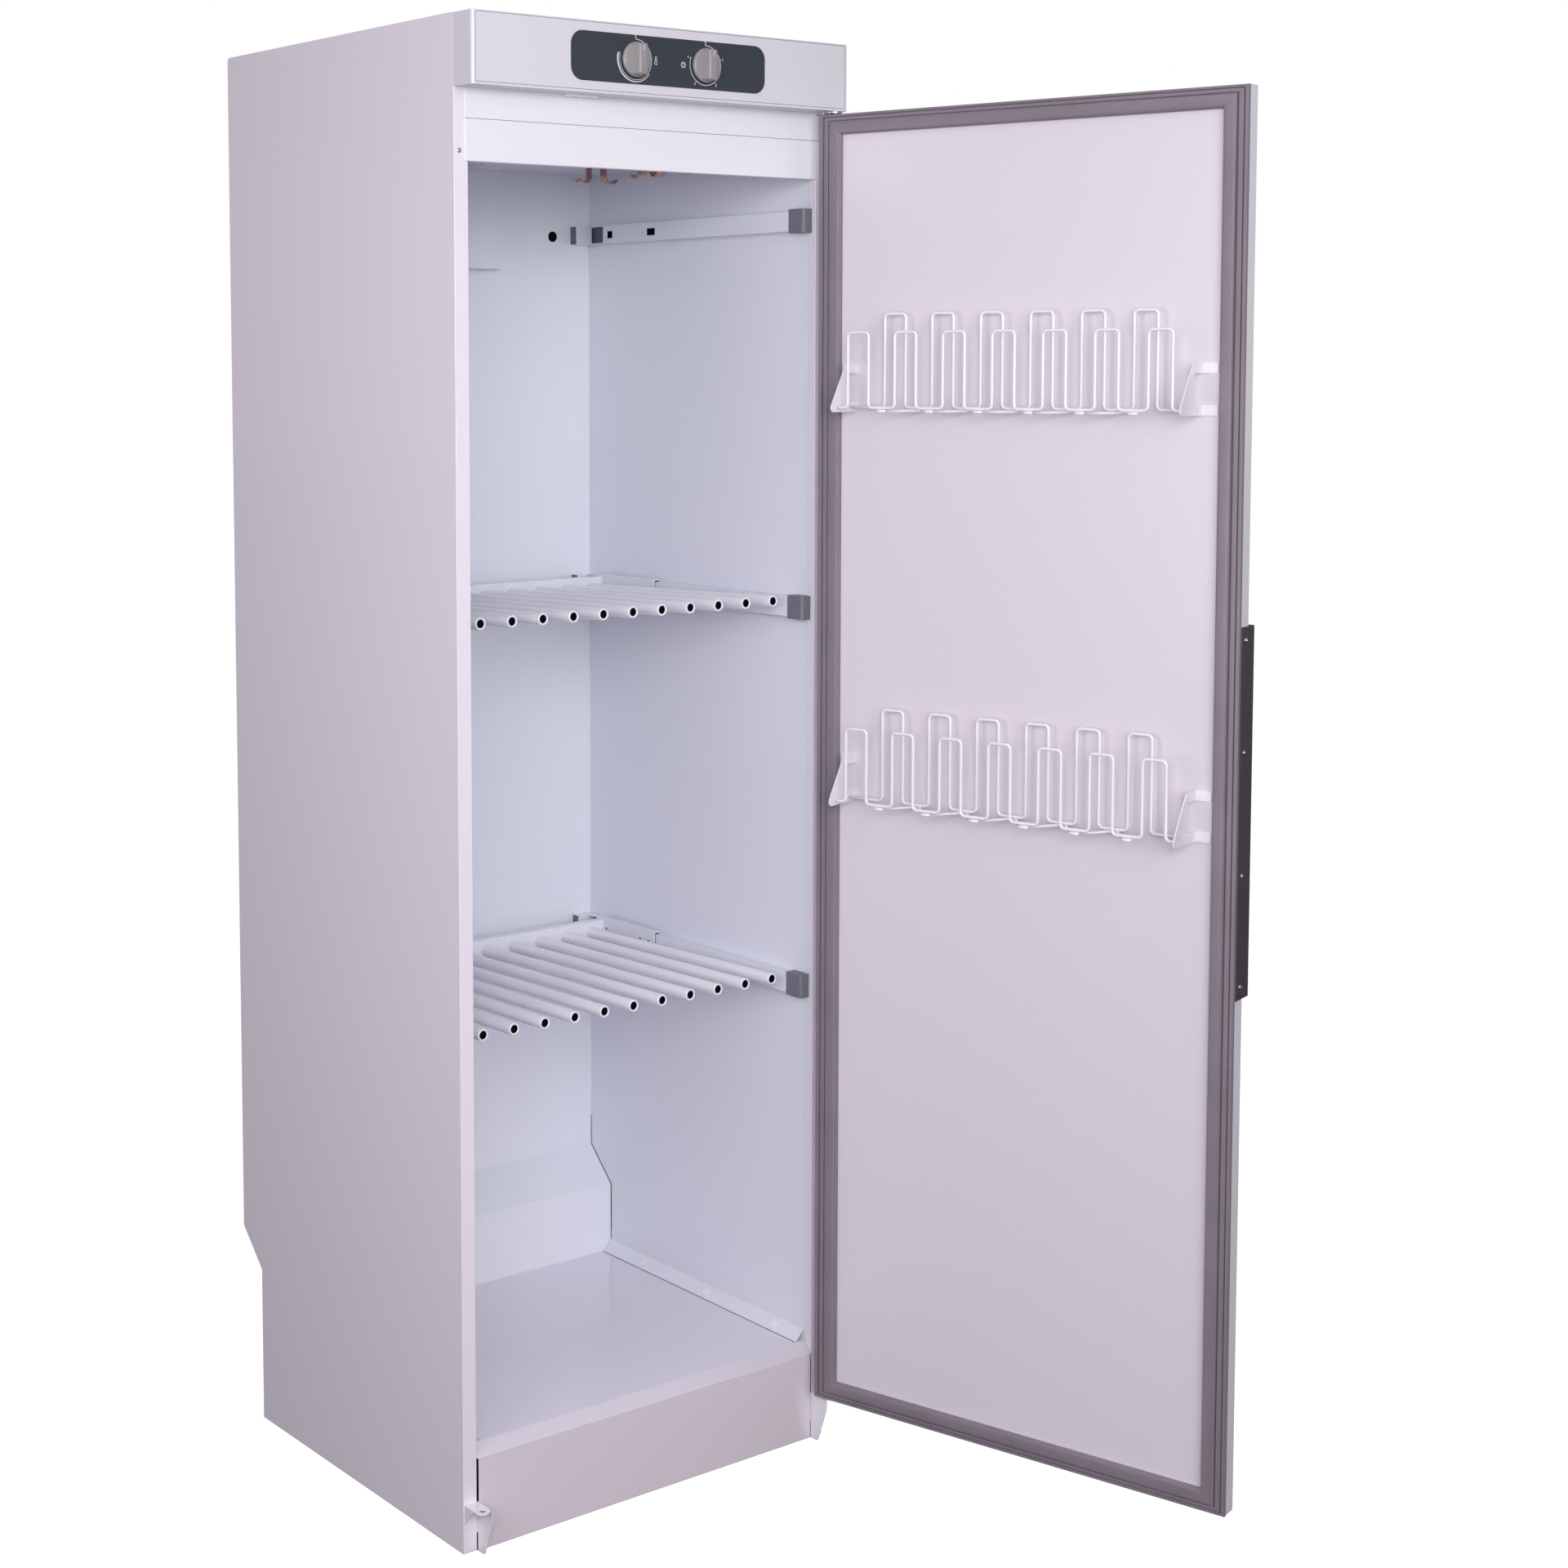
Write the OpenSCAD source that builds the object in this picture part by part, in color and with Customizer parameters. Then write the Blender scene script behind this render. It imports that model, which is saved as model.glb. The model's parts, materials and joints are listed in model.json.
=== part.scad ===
// Free-standing drying cabinet with its door open: a folded-sheet case, a machine room behind the
// fascia, three pairs of wall rails with two pull-out hangers, and a reversible door with two racks.
// Places are measured from the front face of the case: x to the right, y to the back, z up from the
// floor. The part's origin is the middle of the base. The door is drawn shut and then swung open.

/* [Case] */
// Width of the case
case_w = 595; // [560:1:640]
// Depth of the case without fascia, door and handle
case_d = 561; // [520:1:620]
// Height of the case
case_h = 1900; // [1860:1:1960]
// Thickness of the folded sheet
skin_t = 1; // [0.8:0.1:1.4]
// Width of the front stile folded on each side panel
stile_w = 20; // [16:1:26]
// Depth of the stile's return fold
stile_return = 12; // [9:1:16]
// Width of the flanges folded on the rear of the side panels
rear_flange = 16; // [10:1:24]
// Radius of the side panel's top rear corner
rear_corner_r = 6; // [2:1:10]
// Depth of the notch at the foot of the back
notch_d = 51; // [30:1:70]
// Height at which the notch starts to slope back
notch_low_z = 214; // [190:1:230]
// Height at which the notch meets the back
notch_high_z = 264; // [240:1:290]

/* [Chamber] */
// Depth of the air space between the inner and outer back walls
rear_space = 50; // [40:1:60]
// Height of the chamber floor
floor_z = 133; // [125:1:145]
// Height of the kick plate
kick_h = 120; // [105:1:123]
// Distance of the chamber ceiling below the top of the case
ceiling_drop = 140; // [132:1:155]
// Height of the inner back wall's lower fold above the notch's lower edge
inner_fold_rise = 21; // [10:1:30]
// Length of the floor's front slope down to the kick plate
floor_slope_d = 16; // [13:1:20]
// Slit on each side of the kick plate
kick_slit = 2; // [1.6:0.1:3]
// How far kick plate and cover panel stand in front of the case
overlay = 2; // [1.5:0.1:2.4]
// Height of the pressed bands that stiffen the side walls behind the rails
wall_band = 57; // [46:1:64]
// How far the pressed bands stand out of the wall
wall_band_t = 0.5; // [0.3:0.1:0.8]
// Width of the sloping strip along the foot of each side wall
skirting_s = 15.5; // [12:0.5:20]
// Spacing of the plugs in the skirting
plug_pitch = 149; // [120:1:170]
// Place of the first skirting plug
plug_y = 70; // [55:1:90]
// Radius of a skirting plug's head
plug_r = 7; // [5:0.5:8]
// Distance of the sensor hole from the side wall and below the ceiling
sensor_side = 66.5; // [40:0.5:100]
sensor_drop = 91; // [60:1:120]
// Radius of the sensor hole
sensor_r = 7.9; // [4:0.1:10]

/* [Header and fascia] */
// Height of the fascia
fascia_h = 88; // [82:1:94]
// How far the fascia stands in front of the case
fascia_d = 40; // [38:1:46]
// Wall of the fascia housing
fascia_wall = 1.5; // [1:0.1:2]
// Width of the fascia's rim at each side, below and above its front panel
fascia_rim = 5; // [3:0.5:7]
fascia_rim_low = 3; // [2:0.5:6]
fascia_rim_top = 1.6; // [1.6:0.1:6]
// Radius of the fascia's upright front edges
fascia_edge_r = 4; // [2:0.5:6]
// Distance of the cover panel's lower edge below the fascia
cover_drop = 87; // [82:1:97]
// Height of the cover panel
cover_h = 50.5; // [42:0.5:54]
// How far the cover panel laps over the stiles
cover_lap = 4.5; // [2:0.5:5]
// Width, height and corner radius of the control plate
plate_w = 307; // [280:1:330]
plate_h = 60; // [50:1:66]
plate_r = 17; // [8:1:24]
// Thickness of the control plate
plate_t = 1.2; // [0.8:0.1:2]
// Height of the knob axes above the fascia's underside
knob_rise = 44; // [38:1:50]
// Distance of each knob from the middle
knob_x = 55.3; // [45:0.1:65]
// Radius of a knob's disc
knob_r = 21.5; // [18:0.5:24]
// Thickness of a knob's disc
knob_disc_t = 5; // [3:0.5:7]
// Width and height of a knob's grip bar
grip_w = 16; // [12:0.5:20]
grip_t = 12; // [8:0.5:16]
// Radius of a knob's shaft
shaft_r = 3; // [2.5:0.1:4]

/* [Machine room] */
// Distance of the fan and the exhaust from the back of the case
fan_back = 131; // [111:1:160]
// Inner radius of the fan tube and of the exhaust spigot
duct_r = 48; // [40:1:54]
// Wall of the fan tube and of the spigot
duct_wall = 1.5; // [1:0.1:2]
// Height of the spigot above the case
spigot_h = 45; // [30:1:60]
// Radius and length of the fan motor
motor_r = 22; // [16:1:26]
motor_l = 40; // [30:1:50]
// Number of fan blades
blades = 7; // [5:1:9]
// Half width, depth and height of the air duct on the inner back wall
duct_half_w = 103.5; // [90:0.5:120]
duct_d = 24; // [20:1:30]
duct_h = 141.5; // [130:0.5:160]
// Radius of the tubular heater
heater_r = 3.5; // [3:0.5:4.5]
// Distance of the cable inlet from the side and from the back of the case
cable_side = 77.5; // [60:0.5:120]
cable_back = 61; // [30:1:90]

/* [Rails and hangers] */
// Distance of the top rail below the ceiling, and from one rail to the next
rail_drop = 89; // [70:1:110]
rail_pitch = 518.5; // [400:0.5:540]
// Height of a rail
rail_h = 26.7; // [22:0.1:30]
// How far a rail stands off the wall
rail_d = 15; // [10:0.5:18]
// Sheet of rails, carriages and crossbars
rail_t = 1.5; // [1:0.1:2]
// Distance of the end of a rail's web from the inner back wall
rail_web_back = 55.5; // [40:0.5:80]
// Distance of the short hole and of the latch slot from the inner back wall, and their lengths
hole_back = 78.5; // [60:0.5:100]
hole_l = 13; // [6:0.5:20]
slot_back = 179.7; // [120:0.1:200]
slot_l = 19.5; // [10:0.5:30]
// Length of an end stop
stop_l = 30; // [22:1:34]
// Height of an end stop
stop_h = 32; // [30:0.2:38]
// Distance of the right and of the left end stops behind the case front
stop_y_right = 6.5; // [5:0.5:24]
stop_y_left = 22; // [5:0.5:24]
// Space beside and above the rail inside a carriage
carriage_side_gap = 1.5; // [0.6:0.1:3]
carriage_top_gap = 2; // [1.2:0.1:3]
// Running gap between the carriage's glides and the rail
run_gap = 0.4; // [0.3:0.1:0.6]
// Length of a carriage
carriage_l = 140; // [100:1:160]
// Distance of the crossbar's front face from the inner back wall
crossbar_back = 56; // [45:1:70]
// Height of a crossbar, and how far its middle hangs below the rail's
crossbar_h = 31; // [26:1:32]
hanger_drop = 2.5; // [0:0.5:5]
// Depth of a crossbar's flanges
crossbar_d = 14; // [8:1:20]
// Number of tubes on a hanger
tubes = 11; // [9:2:11]
// Distance of the outermost tubes from the carriages
tube_margin = 22; // [18:0.5:40]
// Outer and inner radius of a tube
tube_r = 8; // [6:0.5:9]
tube_bore_r = 5.3; // [3:0.1:5.5]
// Distance of the tubes' tips behind the front of the case
tube_front = 37; // [28:1:60]
// Upward tilt of the tubes
tube_tilt = 1.7; // [0:0.1:2]

/* [Door] */
// Angle at which the door stands open
door_open = 105.8; // [95:0.1:112]
// Distance of the hinge pins from the case side
pin_side = 10.5; // [9:0.1:13]
// Distance of the hinge pins in front of the case
pin_front = 27; // [25:0.1:28]
// Radius of the hinge pins
pin_r = 3; // [2:0.1:3.2]
// How far the door stays inside the sides of the case
door_inset = 1.5; // [0.5:0.5:4]
// Gap between the door and the foot bracket, and between the door and the fascia
door_foot_gap = 5.5; // [4:0.5:10]
door_head_gap = 4.5; // [4:0.5:10]
// Front face and rear edge of the door, in front of the case
door_front = 33; // [32.5:0.1:36]
door_back = 12; // [11:0.5:13]
// Width of the door gasket on each side and at each end
gasket_w = 31; // [26:1:34]
gasket_h = 27; // [24:1:30]
// Width of the gasket's soft tube
gasket_tube_w = 17; // [12:1:20]
// How far the gasket's outer rib laps over the door's edge
gasket_lap = 1; // [0:0.5:1]
// Gap between the shut gasket and the cover panel
gasket_gap = 0.6; // [0.4:0.1:1]
// Height of the handle's middle above the door's, and the handle's length and depth
handle_lift = 0.5; // [-200:0.5:200]
handle_l = 454; // [300:1:600]
handle_d = 39.5; // [34:0.5:44]
// Sheet of the handle
handle_t = 2; // [1.5:0.1:3]
// Width of the handle's front fold
handle_fold = 24; // [16:1:34]
// Distance of the handle's two inner and two outer screws from its middle
handle_screws_in = 75; // [50:1:100]
handle_screws_out = 211; // [120:1:215]

/* [Door racks] */
// Distance of the upper rack's bottom wires below the door's top, and from rack to rack
rack_drop = 383.5; // [250:0.5:450]
rack_pitch = 517; // [400:1:600]
// Diameter of the rack wire
wire_d = 4; // [3:0.1:5]
// Distance of the outermost loops from the brackets
loop_margin = 15.5; // [13:0.5:30]
// Width of a loop
loop_w = 31; // [24:1:34]
// Number of loops in the front wire
loops = 7; // [5:1:7]
// Bend radius of the wire
bend_r = 6; // [5:0.5:9]
// Height of the front and of the rear loops
front_loop_h = 97; // [60:1:120]
back_loop_h = 121; // [80:1:130]
// Distance of the front and of the rear wire from the door's inner panel
front_wire_y = 49; // [40:1:56]
back_wire_y = 15; // [11:1:24]
// Length of the bracket arms, and their gap to the gasket
arm_l = 21; // [15:0.5:25]
arm_gap = 3; // [1:0.5:8]
// Height, foot depth and head depth of a rack bracket
bracket_h = 63; // [50:1:70]
bracket_foot = 64; // [58:1:68]
bracket_head = 28; // [24:1:40]

/* [Hinge brackets] */
// Height of the lower bracket's plate
bracket_z = 64; // [56:0.5:65]
// Thickness of the bracket sheet
bracket_t = 1.5; // [1:0.1:2]
// Radius of the free pin hole in the spare bracket
spare_hole_r = 3.8; // [3:0.1:4.5]

/* [Ceiling hooks] */
// Place of each double hook: across, back and turn
hooks = [[139, 302, -3], [130, 173, -92]]; // [-200:1:400]
// Width and thickness of the hook strip
hook_w = 14.5; // [8:0.5:18]
hook_t = 1.6; // [1:0.1:2.5]
// Length of the hook's straight part
hook_drop = 18; // [12:1:24]
// Inner radius of the hook's curl
hook_r = 9; // [6:0.5:12]

/* [Hidden] */
$fn = 48;

// Finishes
case_white = [0.92, 0.92, 0.94];
door_white = [0.90, 0.89, 0.91];
inner_white = [0.86, 0.88, 0.92];
slate = [0.20, 0.23, 0.27];
knob_grey = [0.58, 0.57, 0.59];
gasket_grey = [0.55, 0.51, 0.55];
stop_grey = [0.42, 0.42, 0.46];
handle_grey = [0.25, 0.23, 0.27];
zinc = [0.75, 0.76, 0.78];
hook_zinc = [0.58, 0.42, 0.40];
machine_grey = [0.35, 0.36, 0.38];

half_w = case_w / 2;
// Levels that hang from the top of the case
fascia_z = case_h - fascia_h;
knob_z = fascia_z + knob_rise;
cover_z = fascia_z - cover_drop;
ceiling_z = case_h - ceiling_drop;
duct_z = ceiling_z - duct_h;
rail_z = [for (i = [2 : -1 : 0]) ceiling_z - rail_drop - i * rail_pitch];
fan_y = case_d - fan_back;
// Inner edge of the stiles, face of the side liners and face of the pressed bands
inner_half = half_w - stile_w;
liner_x = inner_half + skin_t;
wall_x = liner_x - wall_band_t;
// Inner face of the outer back panel, and the faces of the inner back wall
back_in_y = case_d - 2 * skin_t;
liner_y = back_in_y - rear_space;
liner_low_y = liner_y - notch_d + skin_t;
fold_low_z = notch_low_z + inner_fold_rise;
fold_high_z = fold_low_z + notch_d - skin_t;
// Free slack between neighbouring folded parts, and of a pin in a plain hole
slack = 0.1;
fit_gap = 0.05;
// The hinge axis
pin_x = half_w - pin_side;
pin_y = -pin_front;
// The hangers' crossbar and tubes
crossbar_y = liner_y - crossbar_back;
tube_tail = 5;
tube_l = crossbar_y + tube_tail - tube_front;
// Faces of the rails and carriages, measured across from the middle
rail_x = wall_x - rail_d;
carriage_x = rail_x - carriage_side_gap - rail_t;
carriage_half_h = rail_h / 2 + carriage_top_gap + rail_t;
tube_pitch = 2 * (carriage_x - tube_margin) / (tubes - 1);
// Front and rear faces of the fascia's inner wall
fascia_panel_t = 1;
fascia_wall_y = -fascia_d + fascia_panel_t;
fascia_in_y = fascia_wall_y + fascia_wall;
fascia_top_z = case_h - 1;
plate_y = -fascia_d - plate_t;
knob_gap = 0.4;
knob_back_y = plate_y - knob_gap;
// The door's edges
door_half_w = half_w - door_inset;
door_z0 = bracket_z + door_foot_gap;
door_z1 = fascia_z - door_head_gap;
// The racks on the door
rack_z = [door_z1 - rack_drop - rack_pitch, door_z1 - rack_drop];
bracket_x = door_half_w - gasket_w - arm_gap - arm_l;
loop_pitch = (2 * (bracket_x - loop_margin) - loop_w) / (loops - 1);
// The door's layers
panel_y = -door_back - skin_t;
panel_back_y = panel_y - skin_t;
skin_y = -door_front;
gasket_y = -overlay - gasket_gap;
gasket_base_t = 3;
rack_front_y = panel_y + front_wire_y;
rack_back_y = panel_y + back_wire_y;
wire_r = wire_d / 2;
// The handle's faces
handle_x = -door_half_w;
handle_back_y = -door_back + 1.5;
handle_mid_z = (door_z0 + door_z1) / 2 + handle_lift;
handle_z = handle_mid_z - handle_l / 2;
handle_screw_y = -21.3;
handle_screw_zs = [for (s = [-handle_screws_out, -handle_screws_in, handle_screws_in,
                             handle_screws_out]) handle_mid_z + s];

// The case frame: its front face stands half the case depth in front of the origin.
module in_case() translate([0, -case_d / 2, 0]) children();

// The door frame: drawn shut, swung about the hinge axis.
module in_door() in_case() translate([pin_x, pin_y, 0]) rotate([0, 0, door_open])
    translate([-pin_x, -pin_y, 0]) children();

// A box between two corners.
module box(a, b) translate(a) cube(b - a);

// A flat outline in y and z, given its thickness along x.
module side_plate(x0, t, outline) translate([x0, 0, 0]) rotate([90, 0, 90])
    linear_extrude(t) polygon(outline);

// A rod along x, y or z.
module rod_x(a, r, l) translate(a) rotate([0, 90, 0]) cylinder(r = r, h = l);
module rod_y(a, r, l) translate(a) rotate([-90, 0, 0]) cylinder(r = r, h = l);
module rod_z(a, r, l) translate(a) cylinder(r = r, h = l);

// A flat frame of one width at the sides and another at the ends, in the plane of the door.
module flat_ring(half_x, z0, z1, side, end, y0, y1) difference() {
    box([-half_x, y0, z0], [half_x, y1, z1]);
    box([-half_x + side, y0 - 1, z0 + end], [half_x - side, y1 + 1, z1 - end]);
}

// ---------------------------------------------------------------- case

// Outline of a side panel with the notch at the foot of the back.
side_outline = concat(
    [[0, 0], [0, case_h]],
    [for (i = [0 : 4]) let(a = 90 - i * 22.5)
        [case_d - rear_corner_r * (1 - cos(a)), case_h - rear_corner_r * (1 - sin(a))]],
    [[case_d, notch_high_z], [case_d - notch_d, notch_low_z], [case_d - notch_d, 0]]);

// A sheet that follows the outer back wall, with its rear face set back by an inset.
function back_outline(inset, z0, z1) = [
    [case_d - inset, z1], [case_d - inset, notch_high_z],
    [case_d - inset - notch_d, notch_low_z], [case_d - inset - notch_d, z0],
    [case_d - inset - skin_t - notch_d, z0], [case_d - inset - skin_t - notch_d, notch_low_z],
    [case_d - inset - skin_t, notch_high_z], [case_d - inset - skin_t, z1]];

module side_panel(side) scale_x(side) {
    side_plate(half_w - skin_t, skin_t, side_outline);
    // stile and its return
    box([inner_half, 0, base_t], [half_w, skin_t, case_h - skin_t]);
    box([inner_half, 0, base_t], [inner_half + skin_t, stile_return, case_h - skin_t]);
    // rear flange
    side_plate(half_w - rear_flange, rear_flange,
               back_outline(0, 0, case_h - rear_corner_r));
}

// Mirrors a right-hand piece to the left.
module scale_x(side) {
    if (side > 0) children();
    else mirror([1, 0, 0]) children();
}

base_t = 1.5;
module side_panel_left() color(case_white) in_case() side_panel(-1);
module side_panel_right() color(case_white) in_case() side_panel(1);

module back_panel() color(case_white) in_case()
    side_plate(-half_w + skin_t, case_w - 2 * skin_t,
               back_outline(skin_t, base_t, case_h - skin_t));

// The base: a flat pan between the side panels, with upturned edges.
base_edge = 20;
module base_plate() color(case_white) in_case() {
    base_half = half_w - skin_t;
    front_half = inner_half - kick_slit;
    base_y1 = case_d - notch_d - skin_t;
    box([-base_half, skin_t, 0], [base_half, base_y1, base_t]);
    box([-front_half, -overlay + skin_t, 0], [front_half, skin_t, base_t]);
    box([-front_half, -overlay + skin_t, 0], [front_half, -overlay + 2 * skin_t, base_edge]);
    for (s = [-1, 1]) scale_x(s)
        box([base_half - skin_t, stile_return + 1, 0], [base_half, base_y1 - skin_t, base_edge]);
}

// The top, with turned-down sides and the hole under the exhaust spigot.
top_edge = 15;
module top_panel() color(case_white) in_case() difference() {
    top_half = half_w - skin_t;
    union() {
        box([-top_half, 0, case_h - skin_t], [top_half, case_d - skin_t, case_h]);
        for (s = [-1, 1]) scale_x(s)
            box([top_half - skin_t, stile_return + 1, case_h - skin_t - top_edge],
                [top_half, back_in_y, case_h - skin_t]);
    }
    rod_z([0, fan_y, case_h - 2 * skin_t], duct_r, 3 * skin_t);
    rod_z([cable_x, cable_y, case_h - 2 * skin_t], cable_bush_r + fit_gap, 3 * skin_t);
}

// ---------------------------------------------------------------- chamber

liner_top_z = ceiling_z + 12;
liner_foot_z = floor_z - 12;
module side_liner(side) scale_x(side) {
    side_plate(liner_x, skin_t, [
        [4, liner_foot_z], [4, liner_top_z], [liner_y + skin_t, liner_top_z],
        [liner_y + skin_t, fold_high_z], [liner_low_y + skin_t, fold_low_z],
        [liner_low_y + skin_t, liner_foot_z]]);
    // pressed bands behind the rails
    for (z = rail_z)
        box([wall_x, stile_return + 1, z - wall_band / 2],
            [liner_x + skin_t / 2, liner_y - 1, z + wall_band / 2]);
}
module liner_left() color(inner_white) in_case() side_liner(-1);
module liner_right() color(inner_white) in_case() side_liner(1);

module liner_back() color(inner_white) in_case() difference() {
    side_plate(-liner_x, 2 * liner_x, [
        [liner_y, liner_top_z], [liner_y, fold_high_z], [liner_low_y, fold_low_z],
        [liner_low_y, liner_foot_z], [liner_low_y + skin_t, liner_foot_z],
        [liner_low_y + skin_t, fold_low_z], [liner_y + skin_t, fold_high_z],
        [liner_y + skin_t, liner_top_z]]);
    rod_y([liner_x - sensor_side, liner_y - 1, ceiling_z - sensor_drop], sensor_r, 3);
}

// The ceiling, with a round field of holes under the fan.
intake_rings = [0, 15, 30];
intake_hole_r = 5;
module ceiling_panel() color(inner_white) in_case() difference() {
    union() {
        box([-liner_x, stile_return + slack, ceiling_z], [liner_x, liner_y, ceiling_z + skin_t]);
        box([-inner_half + slack, skin_t, ceiling_z],
            [inner_half - slack, stile_return + 1, ceiling_z + skin_t]);
    }
    for (r = intake_rings) for (i = [0 : max(1, r * 0.4) - 1])
        rotate_about([0, fan_y], i * 360 / max(1, r * 0.4))
            rod_z([r, fan_y, ceiling_z - 1], intake_hole_r, 3);
}

// Turns its children about an upright axis.
module rotate_about(centre, a) translate([centre.x, centre.y, 0]) rotate([0, 0, a])
    translate([-centre.x, -centre.y, 0]) children();

// Floor and kick plate, folded from one sheet.
module floor_tray() color(inner_white) in_case() {
    kick_half = inner_half - kick_slit;
    slope_half = inner_half - slack;
    front = -overlay;
    box([-kick_half, front, 0], [kick_half, front + skin_t, kick_h - skin_t]);
    side_plate(-slope_half, 2 * slope_half, [
        [front, kick_h - skin_t], [front, kick_h], [front + floor_slope_d, floor_z],
        [front + floor_slope_d + 1, floor_z], [front + floor_slope_d + 1, floor_z - skin_t],
        [front + floor_slope_d, floor_z - skin_t], [front + skin_t, kick_h - skin_t]]);
    box([-liner_x, front + floor_slope_d + 1, floor_z - skin_t],
        [liner_x, liner_low_y, floor_z]);
}

// Sloping strip along the foot of a side wall, with a flange up the wall.
strip_t = 1;
strip_flange = 16;
skirting_y0 = -overlay + floor_slope_d + 2;
skirting_y1 = liner_low_y - 1;
plug_stem_r = 3.5;
function plug_ys() = [for (i = [0 : 2]) plug_y + i * plug_pitch];
// Places its children on the strip's face, with z out of the face.
module on_strip(y) translate([liner_x - skirting_s / 2, y, floor_z + skirting_s / 2])
    rotate([0, -45, 0]) children();

module skirting(side) scale_x(side) difference() {
    translate([0, skirting_y1, 0]) rotate([90, 0, 0]) linear_extrude(skirting_y1 - skirting_y0)
        polygon([
            [liner_x, floor_z + skirting_s + strip_flange],
            [liner_x - strip_t / 2, floor_z + skirting_s + strip_flange],
            [liner_x - strip_t / 2, floor_z + skirting_s],
            [liner_x - skirting_s, floor_z],
            [liner_x - skirting_s + 1.5 * strip_t, floor_z],
            [liner_x, floor_z + skirting_s - 1.5 * strip_t]]);
    for (y = plug_ys()) on_strip(y) translate([0, 0, -4]) cylinder(r = plug_stem_r, h = 8);
}
module skirting_left() color(inner_white) in_case() skirting(-1);
module skirting_right() color(inner_white) in_case() skirting(1);

module skirting_plugs() color([0.95, 0.95, 0.96]) in_case()
    for (s = [-1, 1]) scale_x(s) for (y = plug_ys()) on_strip(y) {
        translate([0, 0, strip_t * 0.2 + slack]) cylinder(r = plug_r, h = 1.4);
        translate([0, 0, -2.5]) cylinder(r = plug_stem_r - fit_gap, h = 3);
    }

// The air duct that covers the heater on the inner back wall.
duct_slots = 9;
module air_duct_cover() color(inner_white) in_case() {
    front = liner_y - duct_d;
    difference() {
        box([-duct_half_w, front, duct_z], [duct_half_w, liner_y, ceiling_z]);
        box([-duct_half_w + skin_t, front + skin_t, duct_z + skin_t],
            [duct_half_w - skin_t, liner_y + 1, ceiling_z + 1]);
        for (i = [0 : duct_slots - 1])
            translate([(i - (duct_slots - 1) / 2) * 2 * duct_half_w / (duct_slots + 0.5),
                       front + duct_d / 2, duct_z - 1])
                translate([-7, -5, 0]) cube([14, 10, 3]);
    }
}

// ---------------------------------------------------------------- header and fascia

// The header, with a band in front that laps over the stiles above the cover panel.
module header_panel() color(case_white) in_case() {
    band_half = inner_half + cover_lap - 0.5;
    difference() {
        box([-inner_half, 0, cover_z + 2], [inner_half, skin_t, case_h - skin_t]);
        for (s = [-1, 1]) rod_y([s * knob_x, -1, knob_z], 24, 3);
    }
    box([-band_half, -skin_t, cover_z + cover_h + 0.5], [band_half, 0, head_plate_z - 0.5]);
}

module cover_panel() color(case_white) in_case() {
    half = inner_half + cover_lap;
    top = cover_z + cover_h;
    box([-half, -overlay, cover_z], [half, -overlay + skin_t, top]);
    for (s = [-1, 1]) scale_x(s)
        box([half - skin_t, -overlay, cover_z], [half, 0, top]);
    box([-half, -overlay, top - skin_t], [half, 0, top]);
    box([-inner_half + slack, -overlay, cover_z], [inner_half - slack, stile_return, cover_z + skin_t]);
}

// Footprint of the fascia housing, with its two front corners rounded.
module fascia_footprint(half, depth, r) {
    translate([-half, -depth + r]) square([2 * half, depth - r]);
    translate([-half + r, -depth]) square([2 * (half - r), depth]);
    for (s = [-1, 1]) translate([s * (half - r), -depth + r]) circle(r);
}

module fascia_housing() color(case_white) in_case() difference() {
    translate([0, 0, fascia_z]) linear_extrude(fascia_top_z - fascia_z)
        fascia_footprint(half_w, fascia_d, fascia_edge_r);
    // hollow, open to the back
    box([-half_w + fascia_wall, fascia_in_y, fascia_z + fascia_wall],
        [half_w - fascia_wall, 1, fascia_top_z - fascia_wall]);
    // seat of the front panel
    box([-half_w + fascia_rim, -fascia_d - 1, fascia_z + fascia_rim_low],
        [half_w - fascia_rim, fascia_wall_y, fascia_top_z - fascia_rim_top]);
    for (s = [-1, 1]) rod_y([s * knob_x, -fascia_d, knob_z], bush_r + fit_gap, fascia_d / 2);
}

seam = 0.6;
module fascia_front() color(case_white) in_case() difference() {
    box([-half_w + fascia_rim + seam, -fascia_d, fascia_z + fascia_rim_low + seam],
        [half_w - fascia_rim - seam, fascia_wall_y, fascia_top_z - fascia_rim_top - seam]);
    for (s = [-1, 1]) rod_y([s * knob_x, -fascia_d - 1, knob_z], bush_r + fit_gap, 4);
}

module control_plate() color(slate) in_case() difference() {
    translate([0, -fascia_d, knob_z]) rotate([90, 0, 0]) linear_extrude(plate_t)
        rounded_rect(plate_w, plate_h, plate_r);
    for (s = [-1, 1]) rod_y([s * knob_x, plate_y - 1, knob_z], shaft_r + 1, 4);
}

module rounded_rect(w, h, r) {
    square([w - 2 * r, h], center = true);
    square([w, h - 2 * r], center = true);
    for (x = [-1, 1]) for (y = [-1, 1]) translate([x * (w / 2 - r), y * (h / 2 - r)]) circle(r);
}

// Knob with a disc, a wide grip bar and its shaft.
shaft_l = 22;
module knob(x) translate([x, knob_back_y, knob_z]) rotate([90, 0, 0]) {
    cylinder(r = knob_r - 1, h = knob_disc_t);
    cylinder(r = knob_r, h = knob_disc_t - 1);
    intersection() {
        cylinder(r = knob_r - 1, h = knob_disc_t + grip_t);
        translate([-grip_w / 2, -knob_r, 0]) cube([grip_w, 2 * knob_r, knob_disc_t + grip_t]);
    }
    translate([0, 0, -shaft_l]) cylinder(r = shaft_r, h = shaft_l + 1);
}
module temperature_knob() color(knob_grey) in_case() knob(-knob_x);
module timer_knob() color(knob_grey) in_case() knob(knob_x);

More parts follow.
